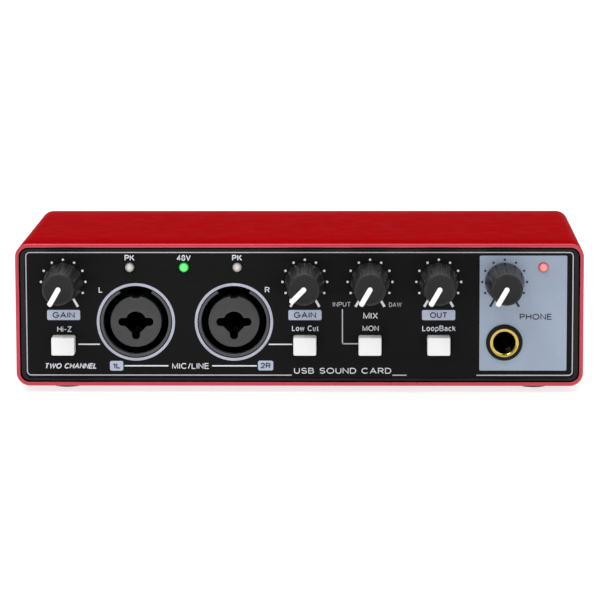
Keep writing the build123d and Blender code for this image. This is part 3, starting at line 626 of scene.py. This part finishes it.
def lettering(words, x, v, height, width=None, level=INK_Z, slant=0.0, weight=0.15):
    """Words centred on (x, v), v above the sleeve's underside. height is that of the capitals."""
    gap = 0.3
    advance = [LETTERS[letter][0] + gap for letter in words]
    total = sum(advance) - gap + weight
    tall = height * (1 - weight)
    wide = width / total if width else height
    start = x - total * wide / 2 + weight * wide / 2
    foot = v - height / 2 - SLEEVE_H / 2
    strokes = []
    for letter, step in zip(words, advance):
        for stroke in LETTERS[letter][1]:
            points = []
            for px, py in stroke:
                rise = height * weight / 2 + py * tall
                lean = slant * (rise - height / 2)
                points.append((start + px * wide + lean, foot + rise))
            strokes.append(ribbon(points, height * weight, level, level + INK_T))
        start += step * wide
    return joined(*strokes)


def line(x0, v0, x1, v1, thick=0.4):
    """Straight printed line, upright or level."""
    width, height = abs(x1 - x0) + thick, abs(v1 - v0) + thick
    return ink([rounded(width, height, 0.05, (x0 + x1) / 2, (v0 + v1) / 2 - SLEEVE_H / 2, 2)])


def dial(x, v):
    """Nine dots over the knob and a stroke at each end of its travel."""
    marks = []
    y = v - SLEEVE_H / 2
    for degrees in range(-120, 121, 30):
        a = math.radians(degrees)
        marks.append(ink([circle(0.38, x + 7.0 * math.sin(a), y + 7.0 * math.cos(a), 20)]))
    for degrees in (-150, 150):
        stroke = ink([rounded(0.75, 3.0, 0.1, 0, 7.6, 3)])
        marks.append(moved(stroke, x, y, turn=degrees))
    return marks


def above(place):
    """Height in millimetres over the sleeve's underside."""
    return (place.z - SLEEVE_LOW.z) / MM


def border_parts():
    """The light line round the film, left open along the bottom."""
    half, low, high, radius, thick = 85.65, 3.3, 42.2, 1.2, 0.34
    y0, y1 = low - SLEEVE_H / 2, high - SLEEVE_H / 2
    a = thick / 2
    left_end, right_end = -2.4, 55.6
    path = [(left_end, y0)]
    bottom, top = y0 + radius, y1 - radius
    for start, sx, cy in ((270, -1, bottom), (180, -1, top), (90, 1, top), (0, 1, bottom)):
        path += arc(radius, start, start - 90, 8, sx * (half - radius), cy)
    path.append((right_end, y0))
    outer, inner = offset_path(path, a), offset_path(path, -a)
    return [ink([outer + inner[::-1]]), line(29.4, low, 33.5, low, thick)]


def offset_path(path, amount):
    """The path moved sideways."""
    points = []
    for i, (x, y) in enumerate(path):
        x0, y0 = path[max(i - 1, 0)]
        x1, y1 = path[min(i + 1, len(path) - 1)]
        dx, dy = x1 - x0, y1 - y0
        length = math.hypot(dx, dy)
        points.append((x - amount * dy / length, y + amount * dx / length))
    return points


def make_prints():
    axes = {name: HINGES[name + "_control"] for name in KNOBS}
    knob_x = {name: axis.x / MM for name, axis in axes.items()}
    knob_v = above(axes["mix"])
    button_x = {name: middle(name + "_button").x / MM for name in BUTTONS}
    button_v = above(middle("mix_knob")) - 19.8
    input_x = {name: middle(name + "_shell").x / MM for name in INPUTS}
    input_v = above(middle("left_input_shell"))
    led = {name: x / MM for name, (x, _) in lights().items()}
    led_v = above(middle("power_led"))
    label_v, words_v, foot_v = knob_v - 10.5, button_v + 5.1, 6.25

    pale = []
    for name in ("gain_left", "gain_right", "mix", "output"):
        pale += dial(knob_x[name], knob_v)
    pale += [
        lettering("MIX", knob_x["mix"] + 0.2, label_v - 0.2, 2.0, 4.6),
        lettering("MON", button_x["monitor"] + 0.2, words_v, 1.7, 5.1),
        lettering("Low Cut", button_x["low_cut"] + 0.1, words_v, 1.75, 8.3),
        lettering("LoopBack", button_x["loopback"] + 0.1, words_v, 1.75, 10.4),
        lettering("Hi-Z", button_x["instrument"] + 0.2, words_v - 0.3, 1.75, 4.5),
        lettering("PK", led["peak_left"], led_v + 3.0, 1.85, 3.1, weight=0.17),
        lettering("PK", led["peak_right"], led_v + 3.0, 1.85, 3.1, weight=0.17),
        lettering("48V", led["phantom"], led_v + 3.0, 1.85, 4.3, weight=0.17),
        lettering("L", input_x["left_input"] - 11.0, input_v + 10.2, 1.8),
        lettering("R", input_x["right_input"] + 10.5, input_v + 10.2, 1.8),
        lettering("MIC/LINE", -34.2, foot_v - 0.05, 1.85, 11.6, weight=0.14),
        lettering("USB SOUND CARD", 13.6, 4.7, 1.85, 30.6, weight=0.14),
        lettering("TWO CHANNEL", -71.9, foot_v - 0.05, 1.75, 16.4, slant=0.25, weight=0.19),
        line(-54.8, foot_v, -41.4, foot_v),
        line(-27.2, foot_v, -13.6, foot_v),
        line(button_x["instrument"] + 4.7, button_v, button_x["instrument"] + 11.1, button_v),
        line(button_x["low_cut"] - 11.2, button_v, button_x["low_cut"] - 4.2, button_v),
    ]
    piece("print_pale", joined(*pale), from_front(0, MIDDLE_Z), pale_ink, CASE)

    grey = border_parts() + [
        lettering("INPUT", knob_x["mix"] - 8.85, knob_v - 7.1, 1.45, 5.6, weight=0.13),
        lettering("DAW", knob_x["mix"] + 7.9, knob_v - 7.2, 1.45, 3.9, weight=0.13),
        line(13.55, 13.3, 13.55, 24.1, 0.35),
        line(13.55, 13.3, 18.4, 13.3, 0.35),
    ]
    piece("print_grey", joined(*grey), from_front(0, MIDDLE_Z), grey_ink, CASE)

    y = label_v - SLEEVE_H / 2
    tags = [ink([rounded(10.4, 3.2, 0.5, knob_x[name], y)]) for name in ("gain_left", "gain_right", "output")]
    tags.append(ink([rounded(4.2, 3.1, 0.6, -57.5, foot_v - SLEEVE_H / 2)]))
    tags.append(ink([rounded(4.8, 3.1, 0.6, -10.6, foot_v + 0.1 - SLEEVE_H / 2)]))
    piece("print_tags", joined(*tags), from_front(0, MIDDLE_Z), blue_ink, CASE)

    jack = middle("phones_jack_ferrule")
    field = ink([rounded(27.3, 36.4, 0.4, 70.15, 23.0 - SLEEVE_H / 2),
                 circle(COLLAR_HOLE, jack.x / MM, above(jack) - SLEEVE_H / 2),
                 circle(3.7, knob_x["phones"], knob_v - SLEEVE_H / 2, 48),
                 circle(LIGHT_HOLE, led["power"], led_v - SLEEVE_H / 2, 40)])
    piece("print_field", field, from_front(0, MIDDLE_Z), field_ink, CASE)

    navy = [
        lettering("GAIN", knob_x["gain_left"], label_v, 1.9, 7.0, OVER_INK_Z, weight=0.18),
        lettering("GAIN", knob_x["gain_right"], label_v, 1.9, 7.0, OVER_INK_Z, weight=0.18),
        lettering("OUT", knob_x["output"], label_v, 1.9, 5.4, OVER_INK_Z, weight=0.18),
        lettering("1L", -57.5, foot_v, 1.75, 2.5, OVER_INK_Z, weight=0.2),
        lettering("2R", -10.6, foot_v + 0.1, 1.75, 3.2, OVER_INK_Z, weight=0.2),
        lettering("PHONE", 74.1, 21.9, 1.9, 10.1, OVER_INK_Z, weight=0.17),
    ]
    navy += [moved(mark, z=OVER_INK_Z) for mark in dial(knob_x["phones"], knob_v)]
    piece("print_navy", joined(*navy), from_front(0, MIDDLE_Z), navy_ink, CASE)

    rings = []
    for name in INPUTS:
        centre = middle(name + "_shell")
        x, y = centre.x / MM, (centre.z - MIDDLE_Z) / MM
        rings.append(ink([circle(12.3, x, y), circle(11.45, x, y)]))
    piece("print_rings", joined(*rings), from_front(0, MIDDLE_Z), silver_ink, CASE)


# ---- knobs and buttons ----

KNOB_BASE, KNOB_TOP, KNOB_LOW, KNOB_HIGH = 6.15, 4.95, 0.8, 18.0
FLUTES, FLUTE_DEPTH, FLUTE_HALF = 12, 0.42, 0.42
REST_ANGLE = {"gain_right": -135}


def flute(angle, radius, z):
    """Radius of the knob's flank with its narrow grooves, which end in a round below the face."""
    end = 15.6
    if z < KNOB_LOW + 0.2 or z > end + FLUTE_HALF or radius < 4.6:
        return radius
    spacing = 2 * math.pi / FLUTES
    nearest = round(angle / spacing)
    if nearest % FLUTES == 0:
        return radius
    across = abs(angle - nearest * spacing) * radius
    over = max(0.0, z - end)
    distance = math.hypot(across, over)
    if distance >= FLUTE_HALF:
        return radius
    return radius - FLUTE_DEPTH * math.sqrt(1 - (distance / FLUTE_HALF) ** 2)


def knob_profile():
    """Outside of the knob from under its skirt, up the tapered flank and over the face."""
    points = [(5.5, 3.6), (5.5, KNOB_LOW + 0.1), (5.6, KNOB_LOW), (KNOB_BASE - 0.15, KNOB_LOW),
              (KNOB_BASE, KNOB_LOW + 0.15)]
    bevel = 0.6
    flank = 34
    for i in range(1, flank + 1):
        share = i / flank
        z = KNOB_LOW + 0.15 + share * (KNOB_HIGH - bevel - KNOB_LOW - 0.15)
        points.append((KNOB_BASE + share * (KNOB_TOP - KNOB_BASE), z))
    for i in range(1, 8):
        a = math.radians(90 * i / 7)
        points.append((KNOB_TOP - bevel * (1 - math.cos(a)), KNOB_HIGH - bevel + bevel * math.sin(a)))
    face = KNOB_TOP - bevel
    return points + [(face - 0.12, KNOB_HIGH - 0.06), (face - 0.25, KNOB_HIGH - 0.1), (1.5, KNOB_HIGH - 0.1)]


def pointer_mesh():
    width, reach, low = 1.6, 5.85, 5.0
    end = 0.62
    bar = [(-width / 2, reach - end)] + arc(width / 2, 180, 360, 14) + [(width / 2, reach - end)]
    bar += arc(end, 0, 90, 6, width / 2 - end, reach - end)
    bar += arc(end, 90, 180, 6, end - width / 2, reach - end)
    top = plate([bar], KNOB_HIGH - 0.6, KNOB_HIGH + 0.02, 0.12, 3)
    rib = plate([rounded(width, 2.0, end, 0, reach - 1.0, 6)], low, KNOB_HIGH - 0.1, 0.12, 3)
    return joined(top, rib)


def make_knobs():
    for name in KNOBS:
        axis, body = HINGES[name + "_control"], name + "_control"
        place = from_front(axis.x, axis.z, REST_ANGLE.get(name, -150))
        cap = lathe(knob_profile(), 288, shape=flute)
        piece(name + "_knob_cap", cap, place, knob_black, body, [name + "_knob"], 50)
        piece(name + "_pointer_line", pointer_mesh(), place, pointer_white, body,
              [name + "_pointer"])


def cap_mesh(width, height, back, front):
    """Push button: straight sides, round edges and a slightly crowned face."""
    rings = []
    inset_curve = [(0.0, back), (0.0, back + 0.8), (0.0, front - 1.6), (0.02, front - 0.5)]
    radius = 0.45
    for i in range(8):
        a = math.radians(90 * i / 7)
        inset_curve.append((0.03 + radius * (1 - math.cos(a)), front - 0.1 - radius + radius * math.sin(a)))
    half, crown = min(width, height) / 2, 0.1
    for share in (0.25, 0.5, 0.75, 0.95):
        inset_curve.append((0.48 + share * (half - 0.7), front - crown + crown * math.sin(share * 1.57)))
    for inset, z in inset_curve:
        corner = min(max(0.05, 0.55 - inset), half - inset)
        outline = rounded(width - 2 * inset, height - 2 * inset, corner, steps=6)
        rings.append([(x, y, z) for x, y in outline])
    return mesh_from_rings(rings)


def make_buttons():
    for name in BUTTONS:
        centre, (width, _, height) = middle(name + "_button"), size(name + "_button")
        low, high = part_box(name + "_button")
        back, front = (FACE_Y - high.y) / MM, (FACE_Y - low.y) / MM
        piece(name + "_cap", cap_mesh(width, height, back, front), from_front(centre.x, centre.z),
              cap_white, name + "_push", [name + "_button"])
    centre, (width, _, height) = middle("phantom_button"), size("phantom_button")
    low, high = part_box("phantom_button")
    back, front = (low.y - REAR_Y) / MM, (high.y - REAR_Y) / MM
    piece("phantom_cap", cap_mesh(width, height, back, front), from_rear(centre.x, centre.z), cap_white,
          "phantom_push", ["phantom_button"])


# ---- lights ----


def light_mesh():
    """Domed lens with its flange and two leads behind it."""
    radius = 1.5
    profile = [(0.4, -4.0), (1.9, -4.0), (1.9, -3.1), (radius, -3.1), (radius, 0.0)]
    for degrees in range(8, 88, 8):
        a = math.radians(degrees)
        profile.append((radius * math.cos(a), radius * math.sin(a)))
    profile.append((0.03, radius))
    dome = lathe(profile, 48)
    leads = [box(0.45, 0.45, -14.0, -4.0, side * 1.27, 0, 0.05) for side in (-1, 1)]
    return joined(dome, *leads)


def make_lights():
    places = lights()
    finishes = {
        "peak_left": (srgb(120, 116, 112), srgb(236, 232, 226), 0.0, "lens_clear", ["peak_leds"]),
        "peak_right": (srgb(120, 116, 112), srgb(236, 232, 226), 0.0, "lens_clear", ["peak_leds"]),
        "phantom": (srgb(6, 96, 32), srgb(92, 238, 108), 1.4, "lens_green", ["phantom_led"]),
        "power": (srgb(138, 14, 30), srgb(255, 142, 136), 0.95, "lens_red", ["power_led"]),
    }
    for name, (edge, core, glow, slot, nodes) in finishes.items():
        x, z = places[name]
        centre = (x, FACE_Y - 1.0 * MM, z)
        finish = lens(name + "_lens", edge, core, centre, glow)
        piece(name + "_light", light_mesh(), from_front(x, z), finish, CASE, nodes)


# ---- sockets ----


CORE_R, CORE_FRONT, JACK_HOLE, LOBE_R, LOBE_AT, WEB_AT = 8.0, 0.4, 3.3, 1.3, 4.2, 3.4
KEY_HALF, KEY_DEPTH = 1.2, 0.6


def opening_radius(angle):
    """Reach of the core's opening along an angle: jack hole, three pin holes, slanted webs between them."""
    dx, dy = math.cos(angle), math.sin(angle)
    far = JACK_HOLE
    for lx, ly in ((1, 0), (-1, 0), (0, -1)):
        along, across = dx * lx + dy * ly, abs(dx * ly - dy * lx)
        if along <= 0:
            continue
        if LOBE_AT * across < LOBE_R:
            far = max(far, LOBE_AT * along + math.sqrt(LOBE_R ** 2 - (LOBE_AT * across) ** 2))
        elif LOBE_R / across < LOBE_AT / along:
            far = max(far, LOBE_R / across)
    if dy < 0:
        web = (WEB_AT + LOBE_R) / (abs(dx) + abs(dy))
        if max(abs(web * dx), abs(web * dy)) <= WEB_AT:
            far = max(far, web)
    return far


def core_radius(angle):
    """The core's outside, with a keyway at its top."""
    if math.sin(angle) > 0 and abs(CORE_R * math.cos(angle)) < KEY_HALF:
        return (CORE_R - KEY_DEPTH) / math.sin(angle)
    return CORE_R


def core_mesh(floor_z):
    """Moulded core: a slightly domed face with rounded edges, with painted shade, a darker black, deep inside
    its holes.
    """
    steps, edge, fall = 360, 0.3, 0.6
    angles = [2 * math.pi * i / steps for i in range(steps)]

    def ring(share, inset, drop):
        """Ring between the opening, share 0, and the outside, share 1, some way below the domed face."""
        points = []
        for a in angles:
            hole, rim = opening_radius(a) + edge - inset, core_radius(a) - edge + inset
            r = hole + share * (rim - hole)
            z = CORE_FRONT - fall * (r / CORE_R) ** 2 - drop if drop < 1 else floor_z
            points.append((r * math.cos(a), r * math.sin(a), z))
        return points

    rings = [ring(1, edge, 1), ring(1, edge, edge), ring(1, edge * 0.7, 0.09)]
    rings += [ring(share, 0, 0) for share in (1, 0.8, 0.6, 0.4, 0.2, 0)]
    rings += [ring(0, edge * 0.7, 0.09), ring(0, edge, edge), ring(0, edge, 1)]
    mesh = mesh_from_rings(rings, wrap=True)
    # Faces deep inside the holes get the darker black, painted shade.
    for face in mesh.faces:
        centre = face.calc_center_median()
        if centre.z < floor_z / 4 and math.hypot(centre.x, centre.y) < CORE_R - 1:
            face.material_index = 1
    return mesh


def input_ring(inner, outer, gap):
    """C-shaped ring, open by gap degrees either side of the top."""
    return arc(outer, 90 + gap, 450 - gap, 90) + arc(inner, 450 - gap, 90 + gap, 90)


def make_inputs():
    floor_z, back_z = -16.0, -35.0
    for name in INPUTS:
        centre = middle(name + "_shell")
        place = from_front(centre.x, centre.z)
        wide = size(name + "_shell").x
        ring = plate([input_ring(10.25, 11.2, 28)], -3.2, -0.1, 0.25, 5)
        for face in ring.faces:
            face.material_index = 1
        skirt = plate([circle(11.25), circle(11.18)], -3.2, -0.4)
        # Skirt, cup and base are painted near-black, as shade inside the socket.
        cup = plate([rounded(wide, wide, 0.5), circle(10.2)], floor_z, -3.05, 0.05)
        base = plate([rounded(wide, wide, 0.5), circle(JACK_HOLE, steps=64)], back_z, floor_z, 0.1)
        piece(name + "_housing", joined(ring, skirt, cup, base), place, [cavity_shade_black, nylon_grey], CASE,
              [name + "_shell"])
        piece(name + "_core", core_mesh(floor_z), place, [nylon_core, cavity_shade_black], CASE,
              [name + "_insert"])


def tube(profile):
    """Ring of revolution from a closed profile of (radius, z)."""
    return lathe(profile, 96, wrap=True)


def make_phones_socket():
    centre = middle("phones_jack_ferrule")
    place = from_front(centre.x, centre.z)
    collar = tube([(4.55, -3.0), (4.55, 0.85), (4.65, 1.0), (5.3, 1.0), (5.48, 0.93), (5.6, 0.75),
                   (5.6, -3.0)])
    # The socket body is painted near-black, as shade inside the bore.
    body = plate([rounded(13.0, 12.0, 0.4, 0, 0), circle(3.6, steps=64)], -29, -3.05, 0.1)
    for face in body.faces:
        face.material_index = 1
    piece("phones_socket", joined(collar, body), place, [nylon_black, cavity_shade_black], CASE,
          ["phones_jack_body"])
    profile = [(JACK_HOLE, -8.0), (JACK_HOLE, -0.3)]
    for i in range(1, 13):
        a = math.radians(7.5 * i)
        profile.append((JACK_HOLE + 1.1 * (1 - math.cos(a)), -0.1 + math.sin(a)))
    profile += [(4.47, 0.87), (4.5, 0.8), (4.5, -8.0)]
    piece("phones_ferrule", tube(profile), place, gold, CASE, ["phones_jack_ferrule"])


# ---- back and underside ----


def make_rear():
    width, _, height = size("rear_panel")
    holes = []
    for name in OUTPUTS:
        centre = middle(name + "_jack")
        holes.append(circle(OUTPUT_HOLE, -centre.x / MM, (jack_z() - MIDDLE_Z) / MM, 64))
    centre = middle("phantom_button")
    holes.append(rounded(6.2, 6.2, 0.5, -centre.x / MM, (centre.z - MIDDLE_Z) / MM))
    centre, (usb_w, _, usb_h) = middle("usb_socket"), size("usb_socket")
    holes.append(rounded(usb_w + 0.4, usb_h + 0.4, 1.8, -centre.x / MM, (centre.z - MIDDLE_Z) / MM))
    panel = plate([rounded(width, height, PANEL_R), *holes], -2.0, 0.0, 0.2)
    piece("rear_plate", panel, from_rear(0, MIDDLE_Z), powder_black, CASE, ["rear_panel"])

    shell = plate([rounded(usb_w, usb_h, 1.6), rounded(usb_w - 0.6, usb_h - 0.6, 1.3)], -6.6, 0.0, 0.06)
    back = plate([rounded(usb_w, usb_h, 1.6)], -7.4, -6.6)
    tongue = plate([rounded(6.7, 0.7, 0.3)], -6.55, -0.9, 0.05)
    piece("usb_port", joined(shell, back, tongue), from_rear(centre.x, centre.z), zinc, CASE,
          ["usb_socket"])
    for name in OUTPUTS:
        x = middle(name + "_jack").x
        nose = tube([(JACK_HOLE, -26.0), (JACK_HOLE, 2.5), (3.5, 2.85), (3.85, 3.0), (5.2, 3.0), (5.4, 2.8),
                     (5.4, -26.0)])
        block = plate([rounded(13.0, 12.0, 0.4), circle(5.4, steps=64)], -28, -2.05, 0.1)
        piece(name + "_socket", joined(nose, block), from_rear(x, jack_z()), nylon_black, CASE,
              [name + "_jack"])
        nut = plate([hexagon(13.0), circle(5.45, steps=64)], 0.0, 2.2, 0.25, 3)
        piece(name + "_nut", nut, from_rear(x, jack_z()), zinc, CASE, ["output_jack_nuts"], 25)
    words = [
        lettering("OUTPUT", -50.0, 26.5, 1.9),
        lettering("L", -62.0, 23.2, 1.8),
        lettering("R", -38.0, 23.2, 1.8),
        lettering("48V", 36.0, 17.6, 1.8),
        lettering("USB", 62.0, 14.6, 1.8),
    ]
    piece("print_rear", joined(*words), from_rear(0, MIDDLE_Z), pale_ink, CASE)
    make_screws()


def jack_z():
    low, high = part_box("output_jack_nuts")
    return (low.z + high.z) / 2


def screw_mesh():
    """Pan head with a cross recess, and its shank."""
    head = [(1.2, -7.5), (1.2, 0.0), (2.3, 0.0), (2.3, 0.5), (2.2, 0.95), (1.9, 1.3), (1.4, 1.46), (0.9, 1.5)]
    recess = [(0.9, 1.5), (0.45, 0.7), (0.1, 0.6)]

    def cross(angle, radius, z):
        if radius > 1.0 or z < 0.5:
            return radius
        arm = abs(math.sin(2 * angle))
        return radius * (1.5 - 1.05 * arm)

    return lathe(head + recess[1:], 64, shape=cross)


def make_screws():
    low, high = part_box("rear_screws")
    inset = 2.3 * MM
    meshes = []
    for x in (low.x + inset, high.x - inset):
        for z in (low.z + inset, high.z - inset):
            meshes.append(moved(screw_mesh(), -x / MM, (z - MIDDLE_Z) / MM, turn=20 if x > 0 else -35))
    piece("case_screws", joined(*meshes), from_rear(0, MIDDLE_Z), black_oxide, CASE,
          ["rear_screws"])


def make_feet():
    low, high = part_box("rubber_feet")
    radius = 5.0
    profile = [(0.6, 2.0), (radius, 2.0), (radius, 0.7), (4.9, 0.4), (4.72, 0.15), (4.45, 0.02), (4.2, 0.0),
               (0.6, 0.0)]
    feet = []
    for x in (low.x / MM + radius, high.x / MM - radius):
        for y in (low.y / MM + radius, high.y / MM - radius):
            feet.append(moved(lathe(profile, 64), x, y))
    piece("case_feet", joined(*feet), Matrix.Scale(MM, 4), rubber, CASE, ["rubber_feet"])


def finish_inner_nodes():
    """Materials of the CAD nodes that stay as they are, inside the case."""
    finishes = {
        "front_board": solder_mask, "main_board": solder_mask, "board_header": epoxy, "chips": epoxy,
        "button_switches": epoxy, "phantom_switch": epoxy, "capacitors": aluminium, "pot_nuts": zinc,
        "front_screws": zinc, "switch_springs": zinc, "input_contacts": contact_gold_shaded,
    }
    for name in KNOBS:
        finishes[name + "_pot"] = epoxy
        finishes[name + "_shaft"] = aluminium
    for name in (*BUTTONS, "phantom"):
        finishes[name + "_plunger"] = cap_white
    for name, material in finishes.items():
        data = frame["nodes"][name].data
        data.materials.clear()
        data.materials.append(material)


# ---- scene ----


def make_stage():
    """Pale floor, a white world and soft lights."""
    floor_material = surface("floor", srgb(150, 150, 150), 0.9, mottle=0.004, mottle_mm=300, grain_mm=6,
                             grain_depth_mm=0.05, grain_strength=0.1, specular=0.1)
    shader = floor_material.node_tree.nodes["Principled BSDF"]
    shader.inputs["Emission Color"].default_value = (1, 1, 1, 1)
    shader.inputs["Emission Strength"].default_value = 0.78
    half = 6.0
    mesh = bmesh.new()
    steps = 12
    rows = []
    for i in range(steps + 1):
        y = -half + 2 * half * i / steps
        rows.append([mesh.verts.new((-half + 2 * half * j / steps, y, 0)) for j in range(steps + 1)])
    for i in range(steps):
        for j in range(steps):
            mesh.faces.new((rows[i][j], rows[i][j + 1], rows[i + 1][j + 1], rows[i + 1][j]))
    data = bpy.data.meshes.new("floor")
    mesh.to_mesh(data)
    mesh.free()
    data.materials.append(floor_material)
    floor = bpy.data.objects.new("floor", data)
    bpy.context.scene.collection.objects.link(floor)

    world = bpy.data.worlds.new("studio")
    world.use_nodes = True
    background = world.node_tree.nodes["Background"]
    background.inputs["Color"].default_value = (1, 1, 1, 1)
    background.inputs["Strength"].default_value = 0.62
    bpy.context.scene.world = world
    add_light("ceiling", (0, 0.4, 3.0), 7.0, 150.0)
    add_light("key", (-0.35, -0.6, 1.0), 0.25, 2.6)
    add_light("side", (0.9, -0.8, 0.45), 0.6, 1.0)


def add_light(name, place, width, power):
    """Square soft light aimed at the object."""
    data = bpy.data.lights.new(name, "AREA")
    data.size = width
    data.energy = power
    light = bpy.data.objects.new(name, data)
    light.location = place
    aim = Vector((0, 0, MIDDLE_Z)) - Vector(place)
    light.rotation_euler = aim.to_track_quat("-Z", "Y").to_euler()
    bpy.context.scene.collection.objects.link(light)


def make_camera():
    right_mm, away_mm, up_mm = 21.85, 1033.0, 178.7
    yaw, pitch, roll, lens_mm, sensor_mm = 1.196, -8.336, -0.158, 200.1, 36.0
    data = bpy.data.cameras.new("camera")
    data.lens = lens_mm
    data.sensor_width = sensor_mm
    camera = bpy.data.objects.new("camera", data)
    camera.location = (right_mm * MM, SLEEVE_LOW.y - away_mm * MM, SLEEVE_LOW.z + up_mm * MM)
    turn = Matrix.Rotation(math.radians(yaw), 3, "Z") @ Matrix.Rotation(math.radians(90 + pitch), 3, "X")
    camera.rotation_euler = (turn @ Matrix.Rotation(math.radians(roll), 3, "Z")).to_euler()
    bpy.context.scene.collection.objects.link(camera)
    bpy.context.scene.camera = camera
    bpy.context.scene.view_settings.view_transform = "Standard"


make_camera()
make_sleeve()
make_front()
make_prints()
make_knobs()
make_buttons()
make_lights()
make_inputs()
make_phones_socket()
make_rear()
make_feet()
finish_inner_nodes()
make_stage()
